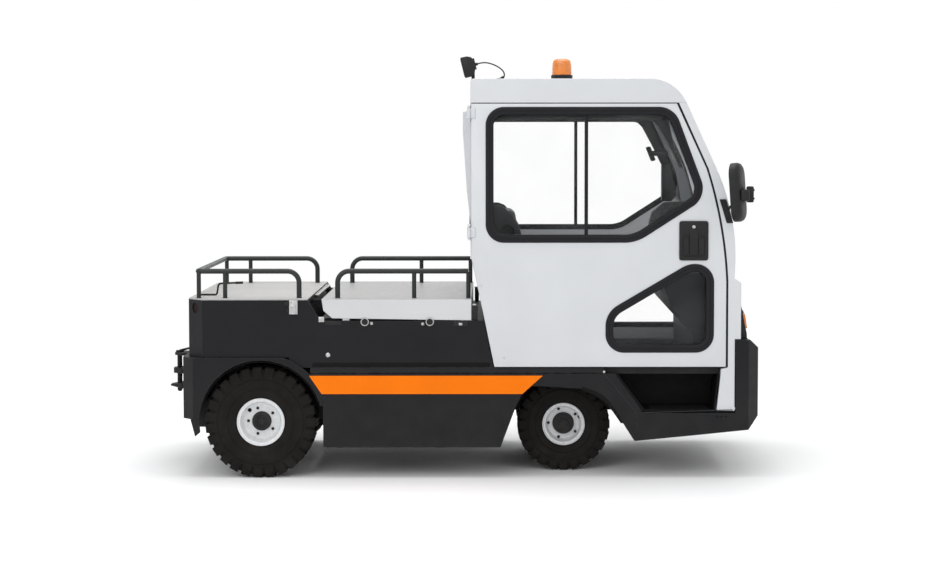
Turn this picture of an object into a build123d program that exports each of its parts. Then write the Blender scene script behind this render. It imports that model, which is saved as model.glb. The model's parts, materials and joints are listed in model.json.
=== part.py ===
from build123d import *
import math
import os

# Airport baggage tug, a battery-electric tow tractor with a closed cab.
# Millimetres. X runs forward, Y to the left, Z up. The origin is on the ground below the middle.
# The rear body is drawn from the rear axle and the cab from the front axle, so each keeps
# its shape when the wheelbase changes.

# Driving dimensions of the whole vehicle
half_width = 675.0
wheelbase = 1761.0
rear_axle_x = -1127.0
front_axle_x = rear_axle_x + wheelbase
rear_tyre_radius = 322.5
rear_tyre_width = 195.0
front_tyre_radius = 274.0
front_tyre_width = 155.0
rear_tyre_inset = 5.0
front_tyre_inset = 240.0
ground_gap = 178.0

# Heights
skirt_top = 605.0
sill_top = 640.0
rear_shell_bottom = 341.0
rear_shell_top = 699.0
deck_height = 1036.0
deck_plate = 5.0
cover_seat = deck_height - 124.0
rail_top = deck_height + 156.0
floor_plate = 40.0
floor_top = sill_top
floor_bottom = floor_top - floor_plate
cab_height = 1526.0
roof_seam = floor_top + cab_height
roof_top = roof_seam + 138.0

# Lengths from the rear axle
rear_face = -453.0
rear_box = -424.0
channel_rear = 274.0
channel_front = 352.0
skirt_rear = 363.0
arch_forward = 3.0
arch_z = 327.0
arch_radius = 356.0
lip_radius = 395.0

# Lengths from the front axle
cab_rear = -542.0
cab_foot = -409.0
cab_kink_z = floor_top + 650.0
bumper_rear = 977.0
panel_face = 1012.0
front_face = 1122.0

# Plates, seams and fits
shell_plate = 11.0
tub_plate = 12.0
skirt_plate = 20.0
door_thick = 40.0
seam = 5.0
rest_gap = 0.3
running_fit = 0.05

tub_side = half_width - tub_plate
door_face = half_width - seam
frame_side = door_face - door_thick - seam
rear_tyre_y = half_width - rear_tyre_inset - rear_tyre_width / 2
front_tyre_y = half_width - front_tyre_inset - front_tyre_width / 2
rear_origin = (rear_axle_x, 0, 0)
front_origin = (front_axle_x, 0, 0)
# How far the front axle stands from the rear one, for pieces that run between both
forward = wheelbase


def slab(outline, y_from, y_to):
    """Solid between two Y planes, of an outline or a face drawn in X and Z."""
    plane = Plane(origin=(0, y_to, 0), x_dir=(1, 0, 0), z_dir=(0, -1, 0))
    face = outline if isinstance(outline, (Sketch, Face)) else make_face(outline)
    return extrude(plane * face, amount=y_to - y_from)


def plan(outline, z_from, z_to):
    """Solid between two heights, of an outline drawn in X and Y."""
    return extrude(Plane.XY.offset(z_from) * make_face(outline), amount=z_to - z_from)


def across(outline, x_from, x_to):
    """Solid between two X planes, of an outline drawn in Y and Z."""
    plane = Plane(origin=(x_from, 0, 0), x_dir=(0, 1, 0), z_dir=(1, 0, 0))
    return extrude(plane * make_face(outline), amount=x_to - x_from)


def block(x, y, z):
    """Box from its three ranges."""
    size = (x[1] - x[0], y[1] - y[0], z[1] - z[0])
    middle = ((x[0] + x[1]) / 2, (y[0] + y[1]) / 2, (z[0] + z[1]) / 2)
    return Pos(*middle) * Box(*size)


def bar(start, end, radius, sides=10):
    """Bar with a many-sided section whose corners lie on the radius."""
    start, end = Vector(start), Vector(end)
    plane = Plane(origin=start, z_dir=end - start)
    return extrude(plane * RegularPolygon(radius, sides), amount=(end - start).length)


def bore(start, end, radius, sides=10):
    """Cutter for a hole whose flats stay outside the radius."""
    return bar(start, end, radius / math.cos(math.pi / sides), sides)


arch_sides = 40


def disc(centre, radius, y_from, y_to):
    """Round solid between two Y planes, in short chords."""
    return slab(Pos(*centre) * RegularPolygon(radius, arch_sides), y_from, y_to)


def chord_corners(points, radius, chords=2):
    """Closed outline whose corners are rounded with short chords."""
    rounded = []
    count = len(points)
    for index in range(count):
        here = Vector(*points[index])
        back = (Vector(*points[index - 1]) - here).normalized()
        ahead = (Vector(*points[(index + 1) % count]) - here).normalized()
        half = math.radians(back.get_angle(ahead)) / 2
        centre = here + (back + ahead).normalized() * (radius / math.sin(half))
        first = here + back * (radius / math.tan(half)) - centre
        last = here + ahead * (radius / math.tan(half)) - centre
        for step in range(chords + 1):
            share = step / chords
            spoke = first * (1 - share) + last * share
            spoke = spoke.normalized() * radius
            rounded.append((centre.X + spoke.X, centre.Y + spoke.Y))
    return Polyline(*rounded, close=True)


def rectangle(x, y):
    """Corners of a rectangle from its two ranges."""
    return [(x[0], y[0]), (x[1], y[0]), (x[1], y[1]), (x[0], y[1])]


def polygon(points, radius=0.0):
    """Closed outline, with every corner rounded when a radius is given."""
    return chord_corners(points, radius) if radius else Polyline(*points, close=True)


def bent_path(points, radii, chords=3):
    """Open path whose corners are bent in short chords, each round its own radius."""
    path = [points[0]]
    for before, here, after, radius in zip(points, points[1:], points[2:], radii):
        here = Vector(here)
        back = (Vector(before) - here).normalized()
        ahead = (Vector(after) - here).normalized()
        half = math.radians(back.get_angle(ahead)) / 2
        centre = here + (back + ahead).normalized() * (radius / math.sin(half))
        first = here + back * (radius / math.tan(half)) - centre
        last = here + ahead * (radius / math.tan(half)) - centre
        for step in range(chords + 1):
            share = step / chords
            path.append(centre + (first * (1 - share) + last * share).normalized() * radius)
    return Polyline(*path, points[-1])


def tube(points, bends, radius, sides=6):
    """Bar bent along straight runs."""
    path = bent_path(points, bends)
    start = Plane(origin=path @ 0, z_dir=path % 0)
    return sweep(start * RegularPolygon(radius, sides), path=path, transition=Transition.RIGHT)


def turned(section, sides, phase=0.0):
    """Many-sided solid about the Y axis. Section columns: place along Y, radius."""
    step = 2 * math.pi / sides
    rings = []
    for place, radius in section:
        angles = [phase + index * step for index in range(sides)]
        rings.append([(radius * math.sin(a), place, radius * math.cos(a)) for a in angles])
    faces = []
    for ring, beside in zip(rings, rings[1:] + rings[:1]):
        for index in range(sides):
            after = (index + 1) % sides
            corners = [ring[index], ring[after], beside[after], beside[index]]
            faces.append(Face(Wire.make_polygon(corners, close=True)))
    return Part() + Solid(Shell(faces))


def left_and_right(shape):
    """A piece and its mirror image, as two solids."""
    return Part() + [shape, mirror(shape, about=Plane.XZ)]


def at_both_sides(shape):
    """A piece and its mirror image, for what joins them."""
    return shape + mirror(shape, about=Plane.XZ)


def cab_edge(z):
    """X of the cab's rear edge at a height, from the front axle."""
    share = max(0.0, (cab_kink_z - z) / (cab_kink_z - sill_top))
    return cab_rear + share * (cab_foot - cab_rear)


# Frame, in vehicle coordinates

rail_y = (380.0, 440.0)
rail_arch_z = 420.0
rail_low_z = 310.0
tail_low_z = 262.0
# Clear space behind the rear axle's middle
axle_bay = 118.0
rail_high_z = 520.0
spine_half = 85.0
tray_plate = 18.0
step_inner_y = 425.0
rear_cross = (-434.0, -364.0)
front_cross = (351.0, 406.0)
nose_cross = (906.0, bumper_rear)
outrigger_places = (0.28, 0.58)


def chassis_frame():
    tail = rear_axle_x + rear_face + 48
    dip = (rear_axle_x + 227, rear_axle_x + 297)
    cross = (front_axle_x + rear_cross[0], front_axle_x + rear_cross[1])
    nose = (front_axle_x + nose_cross[0], front_axle_x + nose_cross[1])
    side = [
        (tail, tail_low_z),
        (rear_axle_x - axle_bay, tail_low_z),
        (rear_axle_x - axle_bay, rail_arch_z),
        (dip[0], rail_arch_z),
        (dip[1], rail_low_z),
        (cross[1], rail_low_z),
        (cross[1], rail_high_z),
        (tail, rail_high_z),
    ]
    frame = at_both_sides(slab(polygon(side), *rail_y))
    inner = (-rail_y[0], rail_y[0])
    frame += block((tail, tail + 60), inner, (rail_arch_z, rail_high_z))
    frame += block((dip[1], cross[0]), inner, (rail_low_z, rail_low_z + tray_plate))
    full = (-frame_side, frame_side)
    frame += block(cross, full, (rail_arch_z, floor_bottom))
    frame += block((cross[0], nose[1]), (-spine_half, spine_half), (rail_low_z, floor_bottom))
    middle = (front_axle_x + front_cross[0], front_axle_x + front_cross[1])
    frame += block(middle, (-step_inner_y, step_inner_y), (floor_bottom - 100, floor_bottom))
    frame += block(nose, full, (rail_low_z + 20, floor_bottom))
    for place in outrigger_places:
        x = rear_axle_x + place * forward
        arm = block((x, x + 60), (rail_y[1], half_width - skirt_plate), (400, 470))
        frame += at_both_sides(arm)
    return frame


# Rear body, from the rear axle

rail_inset = 110.0
rail_radius = 15.0
post_radius = 13.0
rail_bend = 67.0
rail_corner = 22.0
socket_radius = 16.0
socket_depth = 3.0
rear_rail_ends = (-372.0, 217.0)
rear_posts = (-366.0, -213.0)
chamfer_rear = 91.0
shell_corner = 64.0
lamp_hole_radius = 30.0
# Corners of the flap: place from the rear face, drop below the shell
rear_flap = [(50.0, 0.0), (76.0, 99.0), (135.0, 48.0), (138.0, 0.0)]
# Bay above the motor, from the rear axle
motor_bay = (rear_face + 140, arch_forward + 134)
lamp_hole_z = deck_height - 53.0


def rear_outline(front, inset):
    """Plan of the rear shell with its two cut corners, made smaller by a plate."""
    half = half_width - inset
    back = rear_face + inset
    corner = shell_corner - 0.414 * inset
    outline = [(front, half), (back + corner, half), (back, half - corner)]
    return polygon(outline + [(x, -y) for x, y in reversed(outline)])


def rear_shell():
    centre = (arch_forward, arch_z)
    front = motor_bay[1]
    inner = half_width - shell_plate
    shell = plan(rear_outline(front, 0), rear_shell_bottom, rear_shell_top)
    shell -= plan(rear_outline(front + 1, shell_plate), rear_shell_bottom, rear_shell_top - shell_plate)
    lip = disc(centre, lip_radius, inner, half_width)
    lip &= block((front, skirt_rear - 2), (inner, half_width), (arch_z + 93, rear_shell_top))
    shell += at_both_sides(lip)
    top_plate = (rear_shell_top - shell_plate, rear_shell_top)
    shell -= block((motor_bay[0], front + 1), (-rail_y[0], rail_y[0]), top_plate)
    # Pointed flap below each rear corner
    flap = [(rear_face + x, rear_shell_bottom - drop) for x, drop in rear_flap]
    shell += at_both_sides(slab(polygon(flap), inner, half_width))
    shell -= disc(centre, arch_radius, -half_width - 1, half_width + 1)
    return Pos(*rear_origin) * shell


def rear_box_outline(front, inset):
    """Plan of the rear box with its two cut corners, made smaller by a plate."""
    half = tub_side - inset
    back = rear_box + inset
    corner = chamfer_rear - 0.586 * inset
    outline = [(front, half), (back + corner, half), (back, half - corner)]
    return polygon(outline + [(x, -y) for x, y in reversed(outline)])


def lamp_place(inset):
    """Middle of a rear lamp's hole in the left cut corner, and the way it faces."""
    half = chamfer_rear / 2
    facing = Vector(-1, 1, 0).normalized()
    return Vector(rear_box + half, tub_side - half, lamp_hole_z) - facing * inset, facing


def body_tub():
    plate = tub_plate
    deck_under = deck_height - deck_plate
    drop = forward + cab_edge(cover_seat) - seam
    side = [
        (rear_box, rear_shell_top),
        (rear_box, deck_under),
        (channel_rear, deck_under),
        (channel_front, cover_seat),
        (drop, cover_seat),
        (forward + cab_edge(sill_top) - seam, sill_top),
        (arch_forward + 164, sill_top),
        (arch_forward + 164, rear_shell_top),
    ]
    tub = slab(polygon(side), -tub_side, tub_side)
    tub &= plan(rear_box_outline(forward, 0), sill_top, deck_height)
    tub -= plan(rear_box_outline(channel_rear - plate, plate), rear_shell_top + plate, deck_height)
    inner = (-tub_side + plate, tub_side - plate)
    tub -= block((channel_rear, drop - plate), inner, (sill_top + plate, deck_height))
    tub += block((forward + cab_rear - 12, drop - plate), inner, (cover_seat - plate, cover_seat))
    between = (-rail_y[0], rail_y[0])
    low_plate = (sill_top - 1, sill_top + plate + 1)
    high_plate = (rear_shell_top - 1, rear_shell_top + plate + 1)
    tub -= block((channel_rear - plate - 1, drop - plate), between, low_plate)
    tub -= block((motor_bay[0], motor_bay[1] + 30), between, high_plate)
    middle, facing = lamp_place(0)
    hole = bore(middle - facing * 30, middle + facing * 10, lamp_hole_radius, 12)
    tub -= hole
    tub -= mirror(hole, about=Plane.XZ)
    # Plates that carry the cover's hinge pins
    for y in hinge_places:
        for edge in (y - 34, y + 26):
            tub += block((channel_rear, hinge_x + 10), (edge, edge + 8), (hinge_z - 10, hinge_z + 10))
        tub += bar((hinge_x, y - 34, hinge_z), (hinge_x, y + 34, hinge_z), hinge_pin, 8)
    return Pos(*rear_origin) * tub


def sockets(places, y):
    """Cutters for the holes that the rail posts stand in."""
    low = deck_height - socket_depth
    cutters = [bore((x, y, low), (x, y, deck_height + 1), socket_radius, 6) for x in places]
    return at_both_sides(Part() + cutters)


def rear_deck():
    deck = plan(rear_box_outline(channel_rear, 0), deck_height - deck_plate, deck_height)
    places = (*rear_posts, rear_rail_ends[1])
    return Pos(*rear_origin) * (deck - sockets(places, half_width - rail_inset))


def rear_rail():
    y = half_width - rail_inset
    back, front = rear_rail_ends
    foot = deck_height - socket_depth
    side = [(front, y, foot), (front, y, rail_top), (back, y, rail_top)]
    other = [(x, -y, z) for x, y, z in reversed(side)]
    rail = tube(side + other, (rail_bend, rail_corner, rail_corner, rail_bend), rail_radius)
    for x in rear_posts:
        rail += at_both_sides(bar((x, y, foot), (x, y, rail_top), post_radius, 8))
    return Pos(*rear_origin) * rail


spindle_radius = 22.0


def drive_axle():
    z = rear_tyre_radius
    inner_face = rear_tyre_y - rear_tyre_width / 2 + 22
    case = [(-140, 50), (-60, 148), (60, 148), (140, 50)]
    axle = Pos(0, 0, z) * turned(case, 10)
    axle += bar((0, -inner_face, z), (0, inner_face, z), 56)
    axle += bar((60, 0, z + 20), (270, 0, z + 20), 118)
    drum = bar((0, inner_face, z), (0, inner_face + 24, z), 98, 12)
    spindle = bar((0, inner_face, z), (0, rear_tyre_y + rim_sizes["rear"][2] + 24, z), spindle_radius)
    spring = block((-60, 60), rail_y, (z, rail_arch_z))
    axle += at_both_sides(drum + spindle + spring)
    return Pos(*rear_origin) * axle


battery_half = 350.0
battery_room = 14.0


def battery_block():
    start = rear_axle_x + channel_rear + 53
    end = front_axle_x + cab_rear - 30
    low = rail_low_z + tray_plate
    return block((start, end), (-battery_half, battery_half), (low, cover_seat - battery_room))


# Battery cover with its own side rails, from the rear axle

cover_plate = 6.0
cover_gap = 4.0
cover_foot = 40.0
hinge_x = channel_front - 15.0
hinge_z = deck_height - 31.0
hinge_places = (263.0 - tub_side, tub_side - 263.0)
hinge_pin = 6.0
cover_drop = deck_height - cover_seat - rest_gap - 2
cover_posts = (channel_front + 89.0, forward + cab_rear - 333.0, forward + cab_rear - 18.0)


def battery_cover():
    rear = channel_front + cover_gap
    front = forward + cab_rear
    plate = cover_plate
    side = [
        (rear, deck_height),
        (rear + 10, deck_height - 66),
        (rear + 62, deck_height - cover_drop + 12),
        (front, deck_height - cover_drop),
        (front, deck_height),
    ]
    inner = [
        (rear + plate + 2, deck_height - plate),
        (rear + plate + 12, deck_height - 68),
        (rear + plate + 66, deck_height - cover_drop - 5),
        (front - plate, deck_height - cover_drop - 5),
        (front - plate, deck_height - plate),
    ]
    cover = slab(polygon(side), -tub_side, tub_side)
    cover -= slab(polygon(inner), -tub_side + plate, tub_side - plate)
    for y in hinge_places:
        barrel = bar((hinge_x, y - 25, hinge_z), (hinge_x, y + 25, hinge_z), 11, 8)
        barrel += block((hinge_x, rear + 6), (y - 25, y + 25), (hinge_z - 5, hinge_z + 5))
        near, far = (hinge_x, y - 26, hinge_z), (hinge_x, y + 26, hinge_z)
        cover += barrel - bore(near, far, hinge_pin + running_fit, 8)
    # Feet that carry the closed cover on the tub's edge
    height = (cover_seat + rest_gap, deck_height - plate)
    for x in (rear + 120, front - 60):
        cover += at_both_sides(block((x, x + cover_foot), (tub_side - 30, tub_side - plate), height))
    return Pos(*rear_origin) * (cover - sockets(cover_posts, half_width - rail_inset))


def cover_rails():
    y = half_width - rail_inset
    foot = deck_height - socket_depth
    start, middle, end = cover_posts
    rail = tube([(start, y, foot), (start, y, rail_top), (end, y, rail_top)], (rail_bend,), rail_radius)
    for x in (middle, end):
        rail += bar((x, y, foot), (x, y, rail_top), post_radius, 8)
    return Pos(*rear_origin) * left_and_right(rail)


# Sides, from the rear axle

stripe_z = (489.0, 595.0)
stripe_plate = 1.5
# Front end of the skirt, from the front axle: place along X, height
skirt_nose = [(-374.0, ground_gap), (-286.0, 414.0), (-251.0, 485.0), (-117.0, skirt_top)]


def side_skirts():
    inner = half_width - skirt_plate
    outline = [(skirt_rear, ground_gap)]
    outline += [(forward + x, z) for x, z in skirt_nose]
    back = motor_bay[1] + 30
    outline += [(back, skirt_top), (back, arch_z + 113), (skirt_rear, arch_z + 113)]
    skirt = slab(polygon(outline), inner, half_width)
    lip = disc((arch_forward, arch_z), lip_radius + 3, inner - 1, half_width + 1)
    skirt -= lip & block((0, skirt_rear), (inner - 1, half_width + 1), (0, deck_height))
    return Pos(*rear_origin) * left_and_right(skirt)


def stripes():
    low, high = stripe_z
    outline = [(283.0, high), (355.0, low), (forward - 248, low), (forward - 130, high)]
    stripe = slab(polygon(outline), half_width, half_width + stripe_plate)
    return Pos(*rear_origin) * left_and_right(stripe)


sill_start = 290.0
sill_end = 223.0


def sill_rails():
    low = skirt_top
    section = [
        (tub_side - 24, low + seam),
        (tub_side - 8, low + seam),
        (tub_side - 8, low),
        (half_width - 6, low),
        (half_width - 6, low + seam),
        (half_width, low + seam + 2),
        (tub_side, sill_top),
        (tub_side - 24, sill_top),
    ]
    return Pos(*rear_origin) * left_and_right(across(polygon(section), sill_start, forward + sill_end))


# Front, from the front axle

beam_low_z = 216.0
beam_top_z = 377.0
beam_start = 414.0
ridge = [(223.0, skirt_top), (223.0, 576.0), (beam_start, 382.0)]
fender_arch = [(333.0, 319.0), (232.0, 447.0), (98.0, 519.0)]
recess_top = 297.0
recess_foot = 451.0
panel_depth = 17.0


def front_fenders():
    inner = half_width - skirt_plate
    foot = [(beam_start, beam_low_z), (beam_start - 15, beam_low_z)]
    outline = Polyline(skirt_nose[3], *ridge, *foot, fender_arch[0])
    outline += ThreePointArc(*fender_arch)
    outline += Polyline(fender_arch[2], (-130.0, 534.0), (-194.0, 533.0), skirt_nose[3])
    fender = slab(outline, inner, half_width)
    # Inclined panel between the ridge and the step
    step_edge = [(recess_top - seam, skirt_top), (recess_foot - seam, beam_top_z + 8)]
    panel = slab(polygon([ridge[0], *step_edge, ridge[2], ridge[1]]), inner, half_width)
    start = Vector(ridge[1][0], half_width, ridge[1][1])
    along = Vector(ridge[2][0] - ridge[1][0], 0, ridge[2][1] - ridge[1][1])
    inward = Vector(recess_top - ridge[1][0], -panel_depth, skirt_top - ridge[1][1])
    slope = Plane(origin=start, x_dir=along, z_dir=inward.cross(along))
    panel -= slope * Pos(0, 0, 250) * Box(1200, 1200, 500)
    return Pos(*front_origin) * left_and_right(fender + panel)


bumper_top = 800.0
bumper_bottom = 280.0
bumper_wall = 25.0
bumper_corner = (64.0, 75.0)


def bumper_outline(inset, overlap):
    """Plan of the bumper, open to the rear."""
    half = half_width - inset
    front = front_face - inset
    cut_x, cut_y = bumper_corner[0] - 0.35 * inset, bumper_corner[1] - 0.5 * inset
    outline = [(beam_start - overlap, half), (front - cut_x, half), (front, half - cut_y)]
    return polygon(outline + [(x, -y) for x, y in reversed(outline)])


def front_bumper():
    bumper = plan(bumper_outline(0, 0), beam_low_z, bumper_top)
    bumper -= plan(bumper_outline(bumper_wall, 1), beam_low_z - 1, bumper_top + 1)
    upright = bumper_rear + seam
    side = [
        (beam_start, beam_top_z),
        (upright, beam_top_z),
        (upright, bumper_top),
        (front_face - 54, bumper_top),
        (front_face, bumper_top - 50),
        (front_face, bumper_bottom + 72),
        (front_face - 64, bumper_bottom),
        (775.0, beam_low_z + 35),
        (beam_start, beam_low_z),
    ]
    bumper &= slab(polygon(side), -half_width, half_width)
    rib = block((nose_cross[1], front_face - bumper_wall), (300, 330), (360, floor_bottom))
    return Pos(*front_origin) * (bumper + at_both_sides(rib))


# Cab, from the front axle. Each line runs from the top down.

door_line = [(641.0, roof_seam), (812.0, roof_seam - 378.0)]
door_arc = [(812.0, roof_seam - 378.0), (892.0, roof_seam - 700.0), (929.0, roof_seam - 1029.0)]
nose_line = [(693.0, roof_seam), (867.0, roof_seam - 380.0)]
nose_arc = [(867.0, roof_seam - 380.0), (957.0, roof_seam - 666.0), (972.0, roof_seam - 1009.0)]
panel_top = roof_seam - 1037.0


def shifted(points, x):
    return [(point[0] + x, point[1]) for point in points]


def down_the_door(gap):
    """The door's front edge from top to bottom, moved forward by a gap."""
    line = Line(*shifted(door_line, gap)) + ThreePointArc(*shifted(door_arc, gap))
    return line + Line((door_arc[2][0] + gap, door_arc[2][1]), (door_arc[2][0] + gap, floor_top))


screen_half = door_face - 110.0
screen_top = roof_seam - 56.0
screen_bottom = roof_seam - 966.0
glass_plate = 6.0
glass_inset = 22.0


def cab_front():
    foot_x = door_arc[2][0] + seam
    outline = down_the_door(seam)
    outline += Polyline(
        (foot_x, floor_top),
        (900.0, floor_top - 8),
        (874.0, 390.0),
        (bumper_rear, 390.0),
        (bumper_rear, bumper_top + seam),
        (panel_face, bumper_top + seam),
        (panel_face, panel_top),
        nose_arc[2],
    )
    outline += ThreePointArc(*reversed(nose_arc))
    outline += Polyline(nose_line[1], nose_line[0], (door_line[0][0] + seam, roof_seam))
    front = slab(outline, -door_face, door_face)
    front -= block((560, 1100), (-screen_half, screen_half), (screen_bottom, screen_top))
    front -= block((860, bumper_rear + 1), (-frame_side, frame_side), (380, floor_top))
    return Pos(*front_origin) * front


rear_window_half = frame_side - 145.0
rear_window_z = (roof_seam - 746.0, roof_seam - 56.0)


def cab_glass():
    """Windscreen and rear window."""
    back = shifted(nose_line, -glass_inset - glass_plate), shifted(nose_arc, -glass_inset - glass_plate)
    face = shifted(nose_line, -glass_inset), shifted(nose_arc, -glass_inset)
    outline = Line(*back[0]) + ThreePointArc(*back[1]) + Line(back[1][2], face[1][2])
    outline += ThreePointArc(*reversed(face[1])) + Polyline(face[0][1], face[0][0], back[0][0])
    screen = slab(outline, -screen_half, screen_half)
    screen &= block((560, 1100), (-screen_half, screen_half), (screen_bottom, screen_top))
    window = (cab_rear + 8, cab_rear + 14)
    pane = block(window, (-rear_window_half, rear_window_half), rear_window_z)
    return Pos(*front_origin) * (Part() + [screen, pane])


roof_plate = 40.0
roof_arc = [(470.0, roof_top), (590.0, roof_top - 27.0), (677.0, roof_top - 109.0)]


def cab_roof():
    back = cab_rear - 4
    outline = Polyline((back, roof_seam), (back, roof_top - 14), (back + 14, roof_top), roof_arc[0])
    outline += ThreePointArc(*roof_arc)
    outline += Polyline(roof_arc[2], nose_line[0], (back, roof_seam))
    roof = slab(outline, -door_face, door_face)
    cut = [(door_face - 46, roof_top), (door_face - 14, roof_top - 13), (door_face, roof_top - 44)]
    cut += [(door_face + 1, roof_top - 44), (door_face + 1, roof_top + 1), (door_face - 46, roof_top + 1)]
    roof -= at_both_sides(across(polygon(cut), back - 1, 800))
    ceiling = roof_top - roof_plate
    hollow = [(back + roof_plate, roof_seam), (back + roof_plate, ceiling)]
    hollow += [(roof_arc[0][0], ceiling), (nose_line[0][0] - 93, roof_seam)]
    roof -= slab(polygon(hollow), -door_face + 50, door_face - 50)
    return Pos(*front_origin) * roof


wall_thick = 38.0
bulge_depth = 45.0
hinge_axis_x = -556.0
hinge_axis_y = half_width + 3.0
hinge_ear = 4.0
door_hinges_z = (roof_seam - 60.0, floor_top + 782.0)


def cab_rear_wall():
    back = cab_rear - 4
    foot = cab_edge(sill_top) + 2
    outline = [
        (back, roof_seam),
        (back, cab_kink_z),
        (foot, floor_top),
        (foot + wall_thick, floor_top),
        (back + wall_thick, cab_kink_z),
        (back + wall_thick, roof_seam),
    ]
    wall = slab(polygon(outline), -frame_side, frame_side)
    # Proud frame of the rear window, which leans out towards its top
    low, high = rear_window_z[0] + 36, rear_window_z[1] + 5
    proud = back - bulge_depth
    bulge = [(back, low), (back - bulge_depth / 2, low + 200), (proud, high - 120), (proud, high)]
    bulge.append((back, high + 10))
    wall += slab(polygon(bulge), -rear_window_half - 40, rear_window_half + 40)
    wall -= block((back - 60, back + 60), (-rear_window_half, rear_window_half), rear_window_z)
    for z in door_hinges_z:
        for low in (z - 44, z + 32):
            reach = (frame_side - 60, hinge_axis_y + hinge_ear)
            wall += at_both_sides(block((hinge_axis_x - 6, back), reach, (low, low + 12)))
        pin = bar((hinge_axis_x, hinge_axis_y, z - 44), (hinge_axis_x, hinge_axis_y, z + 44), hinge_ear, 8)
        wall += at_both_sides(pin)
    return Pos(*front_origin) * wall


floor_front = 926.0


def cab_floor():
    along = (cab_edge(sill_top), floor_front)
    return Pos(*front_origin) * block(along, (-frame_side, frame_side), (floor_bottom, floor_top))


def side_frames():
    """Ring behind each door: rear post, header, front post and sill."""
    y = (frame_side - 45, frame_side)
    back = cab_rear - 4 + wall_thick
    foot = cab_edge(sill_top) + 2 + wall_thick
    outer = Line((back, roof_seam), door_line[0]) + Line(*door_line) + ThreePointArc(*door_arc)
    outer += Polyline(door_arc[2], (floor_front, floor_top), (foot, floor_top))
    outer += Polyline((foot, floor_top), (back, cab_kink_z), (back, roof_seam))
    hole = [
        (back + 64, roof_seam - 60),
        (596.0, roof_seam - 60),
        (756.0, roof_seam - 406),
        (846.0, roof_seam - 866),
        (856.0, floor_top + 30),
        (foot + 70, floor_top + 30),
        (back + 64, cab_kink_z),
    ]
    ring = slab(outer, *y) - slab(polygon(hole, 40), y[0] - 1, y[1] + 1)
    return Pos(*front_origin) * left_and_right(ring)


# Doors, from the front axle

window_head = roof_seam - 24.0
upper_window = [
    (-459.0, window_head),
    (622.0, window_head),
    (791.0, window_head - 452),
    (777.0, window_head - 542),
    (406.0, window_head - 780),
    (-459.0, window_head - 780),
]
lower_sill = floor_top + 87.0
lower_window = [
    (231.0, lower_sill),
    (231.0, lower_sill + 233),
    (706.0, lower_sill + 513),
    (856.0, lower_sill + 513),
    (856.0, lower_sill),
]
upper_radius = 90.0
lower_radius = 80.0
# Outline and corner radius of each window
windows = [(upper_window, upper_radius), (lower_window, lower_radius)]
rubber_width = 46.0
rubber_cover = 12.0
handle_x = (654.0, 821.0)
handle_z = (floor_top + 620.0, floor_top + 847.0)
pane_split = 110.0
pane_bar_width = 20.0
pane_bar_half = 12.0
pane_y = door_face - door_thick / 2
pane_thick = 5.0


def window_face(points, radius, shrink):
    """Face of a window's outline in X and Z, made smaller by a distance."""
    face = make_face(polygon(points, radius))
    return offset(face, amount=-shrink, kind=Kind.INTERSECTION) if shrink else face


def pane_bar(y_from, y_to):
    return block((pane_split, pane_split + pane_bar_width), (y_from, y_to), (floor_top, roof_top))


def door_panel():
    y = (door_face - door_thick, door_face)
    top = roof_seam - seam
    front = -3.0
    outline = Polyline((cab_rear, top), (door_line[0][0] + front, top), shifted(door_line, front)[1])
    outline += ThreePointArc(*shifted(door_arc, front))
    foot = (door_arc[2][0] + front, sill_top + seam)
    outline += Polyline(
        (foot[0], door_arc[2][1]), foot, (cab_foot, foot[1]), (cab_rear, cab_kink_z), (cab_rear, top)
    )
    panel = slab(outline, *y)
    for points, radius in windows:
        panel -= slab(window_face(points, radius, rubber_cover), y[0] - 1, y[1] + 1)
    for z in door_hinges_z:
        leaf = block((hinge_axis_x, cab_rear + 60), (door_face, door_face + 7), (z - 30, z + 30))
        foot, head = (hinge_axis_x, hinge_axis_y, z - 30), (hinge_axis_x, hinge_axis_y, z + 30)
        leaf += bar(foot, head, 10, 8)
        leaf -= bore(foot, head, hinge_ear + running_fit, 8)
        panel += leaf
    return Pos(*front_origin) * panel


def door_rubber():
    """Rubber channel round both panes, over the edge of the opening."""
    back = door_face - door_thick
    seals = []
    for points, radius in windows:
        outer = slab(window_face(points, radius, 0), door_face, door_face + 6)
        inner = slab(window_face(points, radius, rubber_cover), back, door_face)
        hole = slab(window_face(points, radius, rubber_width), back - 1, door_face + 7)
        seals.append(outer + inner - hole)
    # Upright between the rear pane and the sliding one
    upright = pane_bar(pane_y - pane_bar_half, pane_y + pane_bar_half)
    seals[0] += upright & slab(window_face(upper_window, upper_radius, rubber_width - 1), back, door_face)
    return Pos(*front_origin) * (Part() + seals)


def door_glass():
    """Rear pane, sliding pane and lower pane."""
    panes = [slab(window_face(*window, rubber_width), pane_y, pane_y + pane_thick) for window in windows]
    panes[0] -= pane_bar(pane_y - 1, pane_y + pane_thick + 1)
    return Pos(*front_origin) * (Part() + panes)


def door_handle():
    x, z = (handle_x[0] + handle_x[1]) / 2, (handle_z[0] + handle_z[1]) / 2
    plate = slab(polygon(rectangle(handle_x, handle_z), 17), door_face, door_face + 8)
    dish = rectangle((x - 66, x + 66), (z - 96, z + 70))
    plate -= slab(polygon(dish, 14), door_face + 3, door_face + 9)
    paddle = block((x - 24, x + 24), (door_face + 3, door_face + 18), (z - 80, z + 60))
    lock = bar((x - 17, door_face + 8, z + 84), (x - 17, door_face + 12, z + 84), 11, 8)
    return Pos(*front_origin) * (plate + paddle + lock)


# Steps into the cab, from the front axle

step_wall = 8.0
# Front wall of the step: place at its foot, place at its head
step_front = (863.0, 888.0)


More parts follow.
